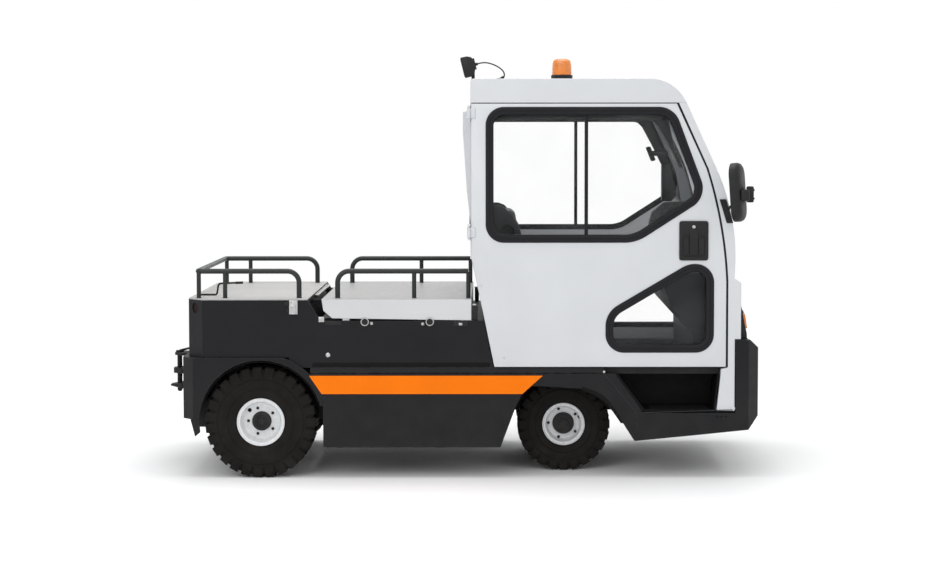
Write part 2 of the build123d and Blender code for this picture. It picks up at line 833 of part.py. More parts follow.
def steps():
    y = (step_inner_y, half_width - 8)
    low = beam_top_z + 8
    rear, front = (recess_top, recess_foot), step_front
    side = [(rear[0], floor_bottom), (rear[1], low), (front[0], low), (front[1], floor_bottom)]
    well = slab(polygon(side), *y)
    inner = [(rear[0] + step_wall, floor_bottom), (rear[1] + 6, low + 12)]
    inner += [(front[0] - 6, low + 12), (front[1] - step_wall, floor_bottom)]
    well -= slab(polygon(inner), y[0] + step_wall, y[1] + 1)
    # Flange that closes the slot behind the beam's top
    well += block((recess_foot + 10, front[0] - 13), (y[1] - 67, y[1] - 27), (low - 30, low))
    # Grip bars across the tread: three along the step's width
    for index in range(3):
        rib_y = y[1] - 30 - index * 60
        well += block((recess_foot + 40, 830.0), (rib_y - 8, rib_y + 8), (low + 12, low + 18))
    return Pos(*front_origin) * left_and_right(well)


# Cab inside, from the front axle

seat_x = (-304.0, 146.0)
seat_half = 240.0
seat_top = floor_top + 320.0
seat_pad = 120.0


def seat_base():
    return Pos(*front_origin) * block(seat_x, (-seat_half + 20, seat_half - 20), (floor_top, seat_top))


def seat_cushion():
    outline = rectangle((seat_x[0] - 30, seat_x[1] + 20), (-seat_half, seat_half))
    return Pos(*front_origin) * plan(polygon(outline, 50), seat_top + rest_gap, seat_top + seat_pad)


def seat_back():
    low, high = seat_top + seat_pad + rest_gap, seat_top + 600
    side = [(-329.0, low), (-234.0, low), (-290.0, high), (-395.0, high)]
    return Pos(*front_origin) * slab(polygon(side, 25), -seat_half + 10, seat_half - 10)


# Dashboard from the side: place along X, height above the floor
dash_side = [(746.0, 0.0), (746.0, 190.0), (628.0, 320.0), (591.0, 410.0), (581.0, 480.0), (666.0, 540.0)]
dash_side += [(floor_front, 540.0), (floor_front, 0.0)]
binnacle_side = [(600.0, 480.0), (720.0, 600.0), (800.0, 600.0), (840.0, 540.0)]
dash_half = frame_side - 55.0
steer_centre = (476.0, 0.0, floor_top + 595.0)
steer_lean = Vector(-0.6, 0, 0.8)
steer_shaft = 10.0


def dashboard():
    panel = slab(polygon([(x, floor_top + z) for x, z in dash_side]), -dash_half, dash_half)
    panel += slab(polygon([(x, floor_top + z) for x, z in binnacle_side]), -190, 190)
    top = Vector(steer_centre) - steer_lean * 30
    root = Vector(steer_centre) - steer_lean * 190
    panel += bar(root, top, 30)
    panel += bar(top, Vector(steer_centre) - steer_lean * 2, steer_shaft)
    return Pos(*front_origin) * panel


def steering_wheel():
    plane = Plane(origin=steer_centre, x_dir=(0, 1, 0), z_dir=steer_lean)
    section = [(-15, 190), (0, 175), (15, 190), (0, 205)]
    ring = Rot(90, 0, 0) * turned(section, 16)
    hub = extrude(Plane.XY.offset(-28) * RegularPolygon(44, 12), amount=50)
    for turn in (90, 210, 330):
        hub += Rot(0, 0, turn) * Pos(112, 0, 0) * Box(150, 34, 10)
    wheel = plane * (ring + hub)
    foot = Vector(steer_centre) - steer_lean * 29
    return Pos(*front_origin) * (wheel - bore(foot, Vector(steer_centre), steer_shaft + running_fit))


# Running gear

# Columns: flange radius, disc's offset from the wheel's middle, hub's outer end from the disc,
# hub radius, bolt circle radius
rim_sizes = {
    "rear": (139.0, 25.0, 30.0, 55.0, 78.0),
    "front": (126.0, 8.0, 34.0, 63.0, 88.0),
}
lug_counts = {"rear": 27, "front": 24}
bolt_hole = 9.0
lug_depth = 13.0
lug_share = 0.64
# Angle of a lug's flank, in radians
lug_flank = 0.03
rim_sides = 16
rim_inset = 22.0
hub_sides = 10
# Holes through a wheel's disc: how many bolts, the first one's angle, the valve's angle and radius
bolt_count = 5
first_bolt = 0.3
valve_angle = -0.75
valve_radius = 12.0


def lug_band(radius, lugs, y_from, y_to, phase):
    """Ring of lugs: a toothed outline about the Y axis."""
    pitch = 2 * math.pi / lugs
    corners = []
    for index in range(lugs):
        middle = phase + index * pitch
        half = pitch * lug_share / 2
        foot = half + lug_flank
        for angle, reach in ((-foot, -lug_depth), (-half, 0), (half, 0), (foot, -lug_depth)):
            size = (radius + reach) / (math.cos(half) if reach == 0 else 1)
            corners.append((size * math.sin(middle + angle), size * math.cos(middle + angle)))
    band = slab(polygon(corners), y_from, y_to)
    return band


def tyre(radius, width, flange, lugs):
    """Tyre about the origin, its outer side towards +Y."""
    half = width / 2
    bead = (flange - 12) / math.cos(math.pi / lugs)
    wall = radius - lug_depth
    rise = wall - flange
    lip = (flange + rest_gap) / math.cos(math.pi / lugs)
    seat = half - rim_inset - rest_gap
    profile = [(seat, bead), (seat, lip), (half, flange + 0.42 * rise), (half - 8, wall - 3)]
    section = profile + [(-y, r) for y, r in reversed(profile)]
    body = turned(section, lugs)
    bands = lug_band(radius, lugs, 3, half - 9, 0)
    bands += lug_band(radius, lugs, -half + 9, -3, math.pi / lugs)
    inside = slab(RegularPolygon(wall - 34, lugs), -half, half)
    return body + (bands - inside)


def rim(flange, disc_y, width, hub_radius, bolt_circle):
    """Flanged steel wheel about the origin, its outer side towards +Y."""
    half = width / 2 - rim_inset
    section = [
        (half, flange - 12.3),
        (half, flange),
        (half + 8, flange),
        (half + 5, flange - 20),
        (disc_y + 18, flange - 26),
        (disc_y, flange - 36),
        (disc_y, hub_radius / math.cos(math.pi / rim_sides) + rest_gap),
        (disc_y - 12, hub_radius / math.cos(math.pi / rim_sides) + rest_gap),
        (disc_y - 12, flange - 22),
        (-half, flange - 18),
        (-half, flange - 12.3),
    ]
    wheel = turned(section, rim_sides)
    for index in range(bolt_count):
        angle = first_bolt + index * 2 * math.pi / bolt_count
        x, z = bolt_circle * math.sin(angle), bolt_circle * math.cos(angle)
        wheel -= bore((x, disc_y - 20, z), (x, disc_y + 20, z), bolt_hole, 6)
    reach = bolt_circle + 16
    x, z = reach * math.sin(valve_angle), reach * math.cos(valve_angle)
    return wheel - bore((x, disc_y - 20, z), (x, disc_y + 26, z), valve_radius, 6)


def hub(disc_y, hub_radius, hub_end, inner_end):
    """Hub with its flange behind the wheel's disc and a cap in front."""
    fit = spindle_radius + running_fit
    inner = fit / math.cos(math.pi / hub_sides)
    section = [
        (inner_end, inner),
        (inner_end, hub_radius - 6),
        (disc_y - 12 - 12, hub_radius - 6),
        (disc_y - 12 - 12, hub_radius + 36),
        (disc_y - 12, hub_radius + 36),
        (disc_y - 12, hub_radius),
        (disc_y + hub_end - 10, hub_radius),
        (disc_y + hub_end, hub_radius - 12),
        (disc_y + hub_end, inner),
    ]
    # Turned half a side, so that its flats meet the corners of the spindle
    return turned(section, hub_sides, math.pi / hub_sides)


def placed(shape, x, y, z, side):
    """A wheel piece set at its axle, turned to face its own side."""
    return Pos(x, side * y, z) * (shape if side > 0 else mirror(shape, about=Plane.XZ))


steer_radius = 16.0
kingpin_offset = 122.0
kingpin_y = front_tyre_y - kingpin_offset
axle_half = 32.0


def front_axle():
    z = front_tyre_radius
    beam = block((-30, 30), (-kingpin_y, kingpin_y), (z - axle_half, z + axle_half))
    beam += at_both_sides(bar((0, kingpin_y, z - axle_half), (0, kingpin_y, z + axle_half), 31, 12))
    hole = bore((0, kingpin_y, z - 40), (0, kingpin_y, z + 40), steer_radius + running_fit)
    beam -= hole
    beam -= mirror(hole, about=Plane.XZ)
    beam += block((-60, 60), (-spine_half, spine_half), (z + axle_half, rail_low_z))
    return Pos(*front_origin) * beam


def knuckle():
    z = front_tyre_radius
    y = kingpin_y
    reach = axle_half + 1
    pin = bar((0, y, z - reach - 17), (0, y, z + reach + 17), steer_radius)
    for low in (z - reach - 17, z + reach):
        pin += bar((0, y, low), (0, y, low + 17), 30, 12)
        pin += block((-26, 26), (y, y + 50), (low, low + 17))
    pin += block((-26, 26), (y + 36, y + 50), (z - reach - 17, z + reach + 17))
    end = front_tyre_y + rim_sizes["front"][1] + rim_sizes["front"][2]
    pin += bar((0, y + 40, z), (0, end, z), spindle_radius)
    return Pos(*front_origin) * pin


# Coupling, from the rear axle

pin_x = rear_face - 124.0
pin_radius = 15.0
hitch_tip = rear_face - 176.0
hitch_half = 70.0
lever_radius = 7.0
# Jaw plates: underside, top, tip along X
jaws = [(430.0, 474.0, hitch_tip), (530.0, 562.0, hitch_tip + 20), (640.0, 656.0, hitch_tip + 28)]


def coupling():
    back = rear_face - 12
    body = block((back, rear_face), (-120, 120), (400, 690))
    for low, high, tip_x in jaws:
        tip = [(back, hitch_half), (pin_x + 20, hitch_half), (tip_x, 28)]
        body += plan(polygon(tip + [(x, -y) for x, y in reversed(tip)]), low, high)
    under = [(hitch_tip - 1, jaws[0][0] - 1), (hitch_tip - 1, jaws[0][0] + 22), (back - 30, jaws[0][0] - 1)]
    body -= slab(polygon(under), -hitch_half - 1, hitch_half + 1)
    over = [(hitch_tip - 1, jaws[0][1] + 1), (hitch_tip - 1, jaws[0][1] - 14), (back - 60, jaws[0][1] + 1)]
    body -= slab(polygon(over), -hitch_half - 1, hitch_half + 1)
    cheek = block((back - 40, back), (hitch_half - 14, hitch_half), (jaws[0][0], jaws[-1][1]))
    body += at_both_sides(cheek)
    return Pos(*rear_origin) * (body - bore((pin_x, 0, 400), (pin_x, 0, 700), pin_radius + running_fit))


def tow_pin():
    head_z = jaws[-1][1]
    pin = bar((pin_x, 0, 415), (pin_x, 0, head_z + 4), pin_radius)
    pin += bar((pin_x, 0, head_z), (pin_x, 0, head_z + 10), 24, 12)
    # Lever that the driver pulls the pin up by
    hand = (pin_x + 66, 0, head_z + 24)
    pin += bar((pin_x, 0, head_z + 6), hand, lever_radius, 8)
    pin += bar((hand[0], -38, hand[2]), (hand[0], 38, hand[2]), lever_radius, 8)
    return Pos(*rear_origin) * pin


# Lamps, mirrors and small fittings, from the front axle where not said

beacon_x = 4.0
beacon_foot = 43.0
beacon_sides = 12
# Rings of the beacon's lens: height above its foot, radius
beacon_lens = [(0.0, 61.0), (70.0, 58.0), (92.0, 50.0), (100.0, 34.0)]


def ring_stack(rings, sides):
    """Upright many-sided body from heights and radii."""
    faces = []
    levels = []
    angles = [index * 2 * math.pi / sides for index in range(sides)]
    for z, radius in rings:
        levels.append([(radius * math.cos(a), radius * math.sin(a), z) for a in angles])
    for low, high in zip(levels, levels[1:]):
        for i in range(sides):
            after = (i + 1) % sides
            faces.append(Face(Wire.make_polygon([low[i], low[after], high[after], high[i]], close=True)))
    faces.append(Face(Wire.make_polygon(levels[0], close=True)))
    faces.append(Face(Wire.make_polygon(levels[-1], close=True)))
    return Part() + Solid(Shell(faces))


def beacon():
    foot = ring_stack([(0, 68.5), (beacon_foot, 66)], beacon_sides)
    lens = Pos(0, 0, beacon_foot) * ring_stack(beacon_lens, beacon_sides)
    return Pos(*front_origin) * Pos(beacon_x, 0, roof_top) * (foot + lens)


lamp_lean = 14.0
lamp_centre = (-569.0, 0.0, roof_top + 97.0)
lamp_size = (74.0, 116.0, 124.0)
cable_radius = 4.0
# Lamp cable, from the lamp's socket to the gland on the roof
cable_route = [
    (-508.0, 0.0, roof_top + 112.0),
    (-472.0, 0.0, roof_top + 123.0),
    (-409.0, -3.0, roof_top + 108.0),
    (-354.0, -7.0, roof_top + 74.0),
    (-342.0, -8.0, roof_top + 36.0),
    (-366.0, -5.0, roof_top + 18.0),
    (-398.0, 0.0, roof_top + 14.0),
]


def work_lamp():
    """Lamp head on its bracket, with the cable's socket, and the gland on the roof."""
    depth, width, height = lamp_size
    head = block((-depth / 2, depth / 2 - 26), (-width / 2, width / 2), (-height / 2, height / 2))
    for index in range(7):
        y = -width / 2 + 10 + index * (width - 20) / 6
        head += block((depth / 2 - 27, depth / 2), (y - 4, y + 4), (-height / 2 + 8, height / 2 - 8))
    lamp = Pos(*lamp_centre) * Rot(0, -lamp_lean, 0) * head
    start = Vector(cable_route[0])
    first = Vector(cable_route[1]) - Vector(cable_route[0])
    lamp += bar(start - first.normalized() * 42, start, 9)
    lamp += block((-546, -524), (-26, 26), (roof_top, roof_top + 60))
    lamp += block((-546, -480), (-26, 26), (roof_top, roof_top + 6))
    end = Vector(cable_route[-1])
    last = (Vector(cable_route[-1]) - Vector(cable_route[-2])).normalized()
    gland = block((end.X - 42, end.X - 16), (-14, 14), (roof_top, roof_top + 26))
    gland += bar(end + last * 20, end, 8)
    return Pos(*front_origin) * (Part() + [lamp, gland])


def bend_radii(points):
    """As large an arc at each corner as its two runs allow."""
    radii = []
    for before, here, after in zip(points, points[1:], points[2:]):
        arriving = Vector(here) - Vector(before)
        leaving = Vector(after) - Vector(here)
        turn = math.radians(arriving.get_angle(leaving))
        radii.append(0.45 * min(arriving.length, leaving.length) / math.tan(turn / 2))
    return radii


def lamp_cable():
    return Pos(*front_origin) * tube(cable_route, bend_radii(cable_route), cable_radius)


mirror_centre = (980.0, half_width + 92.0, roof_seam - 511.0)
mirror_size = (60.0, 170.0, 336.0)
mirror_corner = 62.0
# Both heads face rearwards, turned towards the driver
mirror_turn = 22.0
mirror_tilt = 4.0
arm_radius = 9.0
clamp_size = (40.0, 36.0, 92.0)


def mirrors():
    depth, width, height = mirror_size
    outline = rectangle((-width / 2, width / 2), (-height / 2, height / 2))
    head = across(chord_corners(outline, mirror_corner, 3), -depth / 2, depth / 2)
    x, y, z = mirror_centre
    head = Pos(x, y, z) * Rot(0, 0, mirror_turn) * Rot(0, -mirror_tilt, 0) * head
    plate = [(878.0, z + 32), (912.0, z + 32), (942.0, z - 92), (908.0, z - 92)]
    bracket = slab(polygon(plate), door_face, door_face + 8)
    beside = door_face + arm_radius + 1
    elbow = (x + 84, beside, z + 20)
    behind = (x + 66, y, z + 18)
    arm = bar((918.0, beside, z - 20), elbow, arm_radius, 6) + bar(elbow, behind, arm_radius, 6)
    arm += bar(behind, (x + 20, y, z + 18), arm_radius, 6)
    clamp = Pos(*behind) * Box(*clamp_size)
    return Pos(*front_origin) * left_and_right(head + bracket + arm + clamp)


def headlamps():
    low = bumper_top + seam
    side = [(panel_face, low + 214), (panel_face, low), (panel_face + 40, low)]
    y = door_face - 115
    housing = slab(polygon(side), y - 85, y + 85)
    lens = bar((panel_face + 6, y, low + 100), (panel_face + 30, y, low + 100), 52, 14)
    return Pos(*front_origin) * left_and_right(housing + lens)


def tail_lamps():
    """Round lamps behind the holes in the rear box's cut corners."""
    middle, facing = lamp_place(0)
    lamp = bar(middle - facing * 26, middle - facing * 5, lamp_hole_radius - rest_gap, 12)
    lamp += bar(middle - facing * 34, middle - facing * (tub_plate + rest_gap), lamp_hole_radius + 8, 12)
    return Pos(*rear_origin) * left_and_right(lamp)


def fittings():
    """Striker plates, lifting eyes and latch posts on the rear body."""
    y = tub_side
    striker = block((176, 212), (y, y + 5), (deck_height - 88, deck_height - 8))
    striker += block((184, 204), (y + 5, y + 14), (deck_height - 60, deck_height - 30))
    pieces = [striker]
    for x in (605.0, 980.0):
        ring = turned([(-4, 17), (-4, 26), (4, 26), (4, 17)], 8)
        pieces.append(Pos(x, y + 4 + rest_gap, cover_seat - 6) * ring)
    latch_x = forward + cab_rear + 4
    latch = block((latch_x, latch_x + 16), (y - 90, y - 48), (cover_seat, cover_seat + 64))
    pieces.append(latch)
    shape = Part() + pieces
    return Pos(*rear_origin) * (Part() + [shape, mirror(shape, about=Plane.XZ)])


parts = {
    "chassis_frame": chassis_frame,
    "rear_shell": rear_shell,
    "body_tub": body_tub,
    "rear_deck": rear_deck,
    "rear_rail": rear_rail,
    "drive_axle": drive_axle,
    "battery_block": battery_block,
    "battery_cover": battery_cover,
    "cover_rails": cover_rails,
    "side_skirts": side_skirts,
    "stripes": stripes,
    "sill_rails": sill_rails,
    "front_fenders": front_fenders,
    "front_bumper": front_bumper,
    "cab_front": cab_front,
    "cab_glass": cab_glass,
    "cab_roof": cab_roof,
    "cab_rear": cab_rear_wall,
    "cab_floor": cab_floor,
    "side_frames": side_frames,
    "steps": steps,
    "seat_base": seat_base,
    "seat_cushion": seat_cushion,
    "seat_back": seat_back,
    "dashboard": dashboard,
    "steering_wheel": steering_wheel,
    "front_axle": front_axle,
    "coupling": coupling,
    "tow_pin": tow_pin,
    "beacon": beacon,
    "work_lamp": work_lamp,
    "lamp_cable": lamp_cable,
    "mirrors": mirrors,
    "headlamps": headlamps,
    "tail_lamps": tail_lamps,
    "fittings": fittings,
}
shapes = {name: make() for name, make in parts.items()}

one_side = {
    "door_panel": door_panel(),
    "door_rubber": door_rubber(),
    "door_glass": door_glass(),
    "door_handle": door_handle(),
    "knuckle": knuckle(),
}
for name, shape in one_side.items():
    shapes[f"{name}_left"] = shape
    shapes[f"{name}_right"] = mirror(shape, about=Plane.XZ)

# Columns: place, axle along X, tyre middle along Y, radius, width, hub's inner end from the middle
axles = [
    ("rear", rear_axle_x, rear_tyre_y, rear_tyre_radius, rear_tyre_width, -rear_tyre_width / 2 + 48),
    ("front", front_axle_x, front_tyre_y, front_tyre_radius, front_tyre_width, -kingpin_offset + 54),
]
for place, x, y, radius, width, inner_end in axles:
    flange, disc_y, hub_end, hub_radius, bolt_circle = rim_sizes[place]
    wheel = {
        "tyre": tyre(radius, width, flange, lug_counts[place]),
        "rim": rim(flange, disc_y, width, hub_radius, bolt_circle),
        "hub": hub(disc_y, hub_radius, hub_end, inner_end),
    }
    for name, shape in wheel.items():
        for side_name, side in (("left", 1), ("right", -1)):
            shapes[f"{name}_{place}_{side_name}"] = placed(shape, x, y, radius, side)

os.makedirs("parts", exist_ok=True)
for name, shape in shapes.items():
    export_step(shape, f"parts/{name}.step")
    print(name, len(shape.solids()), "solids", round(shape.volume / 1e6, 2), "litres")
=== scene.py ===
import json
import math
import bmesh
import bpy
from mathutils import Matrix, Vector

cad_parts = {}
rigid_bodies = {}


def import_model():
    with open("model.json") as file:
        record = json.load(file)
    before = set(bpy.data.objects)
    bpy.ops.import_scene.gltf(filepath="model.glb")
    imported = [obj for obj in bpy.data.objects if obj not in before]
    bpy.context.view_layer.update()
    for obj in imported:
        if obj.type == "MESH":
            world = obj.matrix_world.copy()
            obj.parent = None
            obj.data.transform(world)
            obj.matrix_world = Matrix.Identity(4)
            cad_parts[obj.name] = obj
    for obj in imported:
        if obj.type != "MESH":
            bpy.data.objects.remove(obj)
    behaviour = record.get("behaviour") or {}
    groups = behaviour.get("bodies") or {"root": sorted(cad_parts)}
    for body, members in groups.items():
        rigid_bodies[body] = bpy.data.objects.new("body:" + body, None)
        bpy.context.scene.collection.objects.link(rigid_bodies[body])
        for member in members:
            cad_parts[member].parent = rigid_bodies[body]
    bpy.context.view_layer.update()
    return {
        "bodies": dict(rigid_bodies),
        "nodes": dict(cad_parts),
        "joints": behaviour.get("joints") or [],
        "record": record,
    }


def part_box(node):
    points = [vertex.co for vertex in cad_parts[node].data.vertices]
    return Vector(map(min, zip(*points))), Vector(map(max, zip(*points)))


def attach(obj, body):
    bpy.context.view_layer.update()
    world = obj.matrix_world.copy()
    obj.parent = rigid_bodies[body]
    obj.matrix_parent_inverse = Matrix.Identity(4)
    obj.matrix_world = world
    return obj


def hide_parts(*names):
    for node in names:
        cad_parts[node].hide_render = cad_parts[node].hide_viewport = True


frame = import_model()
nodes = frame["nodes"]
slotOf = {row["node"]: row["material_slot"] for row in frame["record"]["subparts"]}
print("frame loaded", len(nodes), "nodes")

# Sizes that several pieces share, in metres
body = {"rearAxle": -1.127, "frontAxle": 0.634, "railTop": 1.192, "roof": 2.304}


# Shader nodes

def addNode(tree, kind, inputs, **settings):
    # An input is a number, a colour or the output of another node
    node = tree.nodes.new("ShaderNode" + kind)
    for key, value in settings.items():
        setattr(node, key, value)
    for key, value in inputs.items():
        if isinstance(value, bpy.types.NodeSocket):
            tree.links.new(value, node.inputs[key])
        else:
            node.inputs[key].default_value = value
    return node


def mathNode(tree, operation, first, second):
    return addNode(tree, "Math", {0: first, 1: second}, operation=operation).outputs[0]


def noiseNode(tree, place, scale, detail):
    return addNode(tree, "TexNoise", {"Scale": scale, "Detail": detail, "Vector": place}).outputs["Fac"]


def rangeNode(tree, value, low, high, toLow, toHigh):
    inputs = {"Value": value, "From Min": low, "From Max": high, "To Min": toLow, "To Max": toHigh}
    return addNode(tree, "MapRange", inputs).outputs["Result"]


def mixColor(tree, factor, first, second):
    ends = [(*color, 1.0) if isinstance(color, tuple) else color for color in (first, second)]
    return addNode(tree, "Mix", {"Factor": factor, 6: ends[0], 7: ends[1]}, data_type="RGBA").outputs[2]


def bumpNode(tree, height, strength, distance):
    return addNode(tree, "Bump", {"Strength": strength, "Distance": distance, "Height": height})


def seenRays(tree):
    # Rays from the camera, by mirror or through glass, which see the plain white ground
    rays = addNode(tree, "LightPath", {}).outputs
    seen = rays["Is Camera Ray"]
    for name in ("Is Glossy Ray", "Is Transmission Ray"):
        seen = mathNode(tree, "MAXIMUM", seen, rays[name])
    return seen


# Camera, lights and world

def link(name, data):
    thing = bpy.data.objects.new(name, data)
    bpy.context.collection.objects.link(thing)
    return thing


def makeCamera():
    # The photograph's framing holds the vehicle below its middle, with upright lines upright
    spec = {"place": (0.2033, -11.1138, 1.9569), "pitch": -2.767, "yaw": 0.015, "roll": 0.037,
            "focal": 1819.5, "photoWidth": 933.0, "sensor": 36.0, "shift": (-0.0252, -0.07), "reach": 200.0}
    data = bpy.data.cameras.new("camera")
    data.sensor_width = spec["sensor"]
    data.lens = spec["sensor"] * spec["focal"] / spec["photoWidth"]
    data.clip_end = spec["reach"]
    data.shift_x, data.shift_y = spec["shift"]
    camera = link("camera", data)
    camera.location = spec["place"]
    camera.rotation_euler = [math.radians(a) for a in (90 + spec["pitch"], spec["roll"], spec["yaw"])]
    bpy.context.scene.camera = camera


def makeLights():
    size = 5.0
    # Columns: name, place, aim, energy
    rows = [
        ("keyLight", (-3.5, -8.0, 5.5), (0.0, 0.0, 1.0), 165.0),
        ("fillLight", (5.5, -7.0, 3.5), (0.3, 0.0, 1.0), 40.0),
        ("topLight", (0.0, 0.3, 7.0), (0.0, 0.0, 1.0), 240.0),
        ("backLight", (1.5, 7.5, 4.5), (0.0, 0.0, 1.0), 40.0),
    ]
    for name, place, aim, energy in rows:
        data = bpy.data.lights.new(name, "AREA")
        data.shape = "SQUARE"
        data.size = size
        data.energy = energy
        light = link(name, data)
        light.location = place
        light.rotation_euler = (Vector(aim) - Vector(place)).to_track_quat("-Z", "Y").to_euler()


def makeWorld():
    # The soft light is dimmer near the horizon, so the floor under the vehicle stays dark
    spec = {"light": (0.985, 0.99, 1.0, 1.0), "horizon": 0.38, "zenith": 1.10, "white": (1.0, 1.0, 1.0, 1.0)}
    world = bpy.data.worlds.new("studio")
    bpy.context.scene.world = world
    world.use_nodes = True
    tree = world.node_tree
    tree.nodes.clear()
    split = addNode(tree, "SeparateXYZ", {0: addNode(tree, "TexCoord", {}).outputs["Generated"]})
    strength = rangeNode(tree, split.outputs["Z"], 0.0, 1.0, spec["horizon"], spec["zenith"])
    lit = addNode(tree, "Background", {"Color": spec["light"], "Strength": strength})
    white = addNode(tree, "Background", {"Color": spec["white"]})
    mix = addNode(tree, "MixShader", {"Fac": seenRays(tree), 1: lit.outputs[0], 2: white.outputs[0]})
    addNode(tree, "OutputWorld", {"Surface": mix.outputs[0]})
    bpy.context.scene.view_settings.view_transform = "Standard"


makeCamera()
makeLights()
makeWorld()
print("camera, lights and world made")


# Materials

def newMaterial(name):
    material = bpy.data.materials.new(name)
    material.use_nodes = True
    tree = material.node_tree
    tree.nodes.clear()
    shader = addNode(tree, "BsdfPrincipled", {})
    addNode(tree, "OutputMaterial", {"Surface": shader.outputs[0]})
    return material, tree, shader, addNode(tree, "TexCoord", {}).outputs["Object"]


def findNode(tree, kind):
    return next(node for node in tree.nodes if node.type == kind)


def tinted(color, factor):
    return tuple(min(1.0, c * factor) for c in color)


def surface(name, color, roughness, spread=0.06, mottle=0.06, mottleScale=4.0, grain=0.0, grainScale=900.0,
            edge=0.0, dust=0.0, metallic=0.0, specular=0.5):
    # Paint, plastic, rubber or metal whose colour, gloss and grain vary, with edges painted lighter as wear
    # and as a painted highlight
    spec = {"dust": (0.24, 0.22, 0.19), "dustTop": 0.75, "edge": 0.006, "leastGrain": 0.03, "depth": 0.0006}
    material, tree, shader, place = newMaterial(name)
    shader.inputs["Metallic"].default_value = metallic
    shader.inputs["Specular IOR Level"].default_value = specular
    broad = rangeNode(tree, noiseNode(tree, place, mottleScale, 4.0), 0.3, 0.7, 0.0, 1.0)
    shade = mixColor(tree, broad, tinted(color, 1 - mottle), tinted(color, 1 + mottle))
    if dust:
        height = addNode(tree, "SeparateXYZ", {0: place}).outputs["Z"]
        low = rangeNode(tree, height, 0.0, spec["dustTop"], dust, 0.0)
        patches = rangeNode(tree, noiseNode(tree, place, 9.0, 6.0), 0.35, 0.7, 0.2, 1.0)
        shade = mixColor(tree, mathNode(tree, "MULTIPLY", low, patches), shade, spec["dust"])
    fine = noiseNode(tree, place, mottleScale * 6, 5.0)
    grained = noiseNode(tree, place, grainScale, 2.0)
    bump = bumpNode(tree, grained, max(grain, spec["leastGrain"]), spec["depth"])
    # Edges lighter in patches: partly wear, partly a painted highlight where light would catch them
    if edge:
        bevel = addNode(tree, "Bevel", {"Radius": spec["edge"]}, samples=4).outputs[0]
        flat = addNode(tree, "NewGeometry", {}).outputs["Normal"]
        turn = addNode(tree, "VectorMath", {0: bevel, 1: flat}, operation="DOT_PRODUCT").outputs["Value"]
        edgePatches = rangeNode(tree, noiseNode(tree, place, 30.0, 5.0), 0.4, 0.65, 0.1, 1.0)
        wornAndHighlit = mathNode(tree, "MULTIPLY", rangeNode(tree, turn, 0.72, 0.97, edge, 0.0), edgePatches)
        shade = mixColor(tree, wornAndHighlit, shade, tuple(min(1.0, c * 0.5 + 0.25) for c in color))
        tree.links.new(bevel, bump.inputs["Normal"])
    tree.links.new(shade, shader.inputs["Base Color"])
    gloss = rangeNode(tree, fine, 0.3, 0.7, roughness - spread, roughness + spread)
    tree.links.new(gloss, shader.inputs["Roughness"])
    tree.links.new(bump.outputs[0], shader.inputs["Normal"])
    return material


def clothMaterial(name, color):
    # Woven seat cloth, with crossed threads in the bump and the colour
    spec = {"sheen": 0.35, "sheenRoughness": 0.5, "threads": 300.0, "distortion": 0.6}
    material, tree, shader, place = newMaterial(name)
    shader.inputs["Sheen Weight"].default_value = spec["sheen"]
    shader.inputs["Sheen Roughness"].default_value = spec["sheenRoughness"]
    wave = {"Scale": spec["threads"], "Distortion": spec["distortion"], "Vector": place}
    threads = [addNode(tree, "TexWave", wave, bands_direction=way).outputs["Fac"] for way in ("X", "Y", "Z")]
    weaving = mathNode(tree, "MULTIPLY", mathNode(tree, "MAXIMUM", threads[0], threads[1]), threads[2])
    patches = rangeNode(tree, noiseNode(tree, place, 6.0, 5.0), 0.3, 0.7, 0.0, 0.5)
    shade = mixColor(tree, weaving, tinted(color, 0.55), tinted(color, 1.5))
    tree.links.new(mixColor(tree, patches, shade, tinted(color, 1.3)), shader.inputs["Base Color"])
    tree.links.new(rangeNode(tree, weaving, 0.0, 1.0, 0.75, 0.95), shader.inputs["Roughness"])
    tree.links.new(bumpNode(tree, weaving, 0.35, 0.001).outputs[0], shader.inputs["Normal"])
    return material


def glassMaterial(name, color, alpha):
    # Clear pane with a faint film of dust
    spec = {"specular": 0.8, "coat": 0.6, "roughness": (0.03, 0.09), "film": 0.02}
    material, tree, shader, place = newMaterial(name)
    shader.inputs["Base Color"].default_value = (*color, 1.0)
    shader.inputs["Specular IOR Level"].default_value = spec["specular"]
    shader.inputs["Coat Weight"].default_value = spec["coat"]
    film = noiseNode(tree, place, 5.0, 6.0)
    tree.links.new(rangeNode(tree, film, 0.3, 0.7, *spec["roughness"]), shader.inputs["Roughness"])
    tree.links.new(rangeNode(tree, film, 0.3, 0.75, alpha, alpha + spec["film"]), shader.inputs["Alpha"])
    return material


def lensMaterial(name, color, transmission, ribs):
    # Coloured lamp lens with fine ribs
    spec = {"refraction": 1.49, "coat": 0.5, "bump": 0.5, "depth": 0.002}
    material, tree, shader, place = newMaterial(name)
    shader.inputs["Transmission Weight"].default_value = transmission
    shader.inputs["IOR"].default_value = spec["refraction"]
    shader.inputs["Coat Weight"].default_value = spec["coat"]
    tone = rangeNode(tree, noiseNode(tree, place, 14.0, 4.0), 0.3, 0.7, 0.0, 1.0)
    tree.links.new(mixColor(tree, tone, tinted(color, 0.85), tinted(color, 1.12)),
                   shader.inputs["Base Color"])
    tree.links.new(rangeNode(tree, tone, 0.0, 1.0, 0.08, 0.2), shader.inputs["Roughness"])
    wave = addNode(tree, "TexWave", {"Scale": ribs, "Vector": place}, bands_direction="Z").outputs["Fac"]
    tree.links.new(bumpNode(tree, wave, spec["bump"], spec["depth"]).outputs[0], shader.inputs["Normal"])
    return material


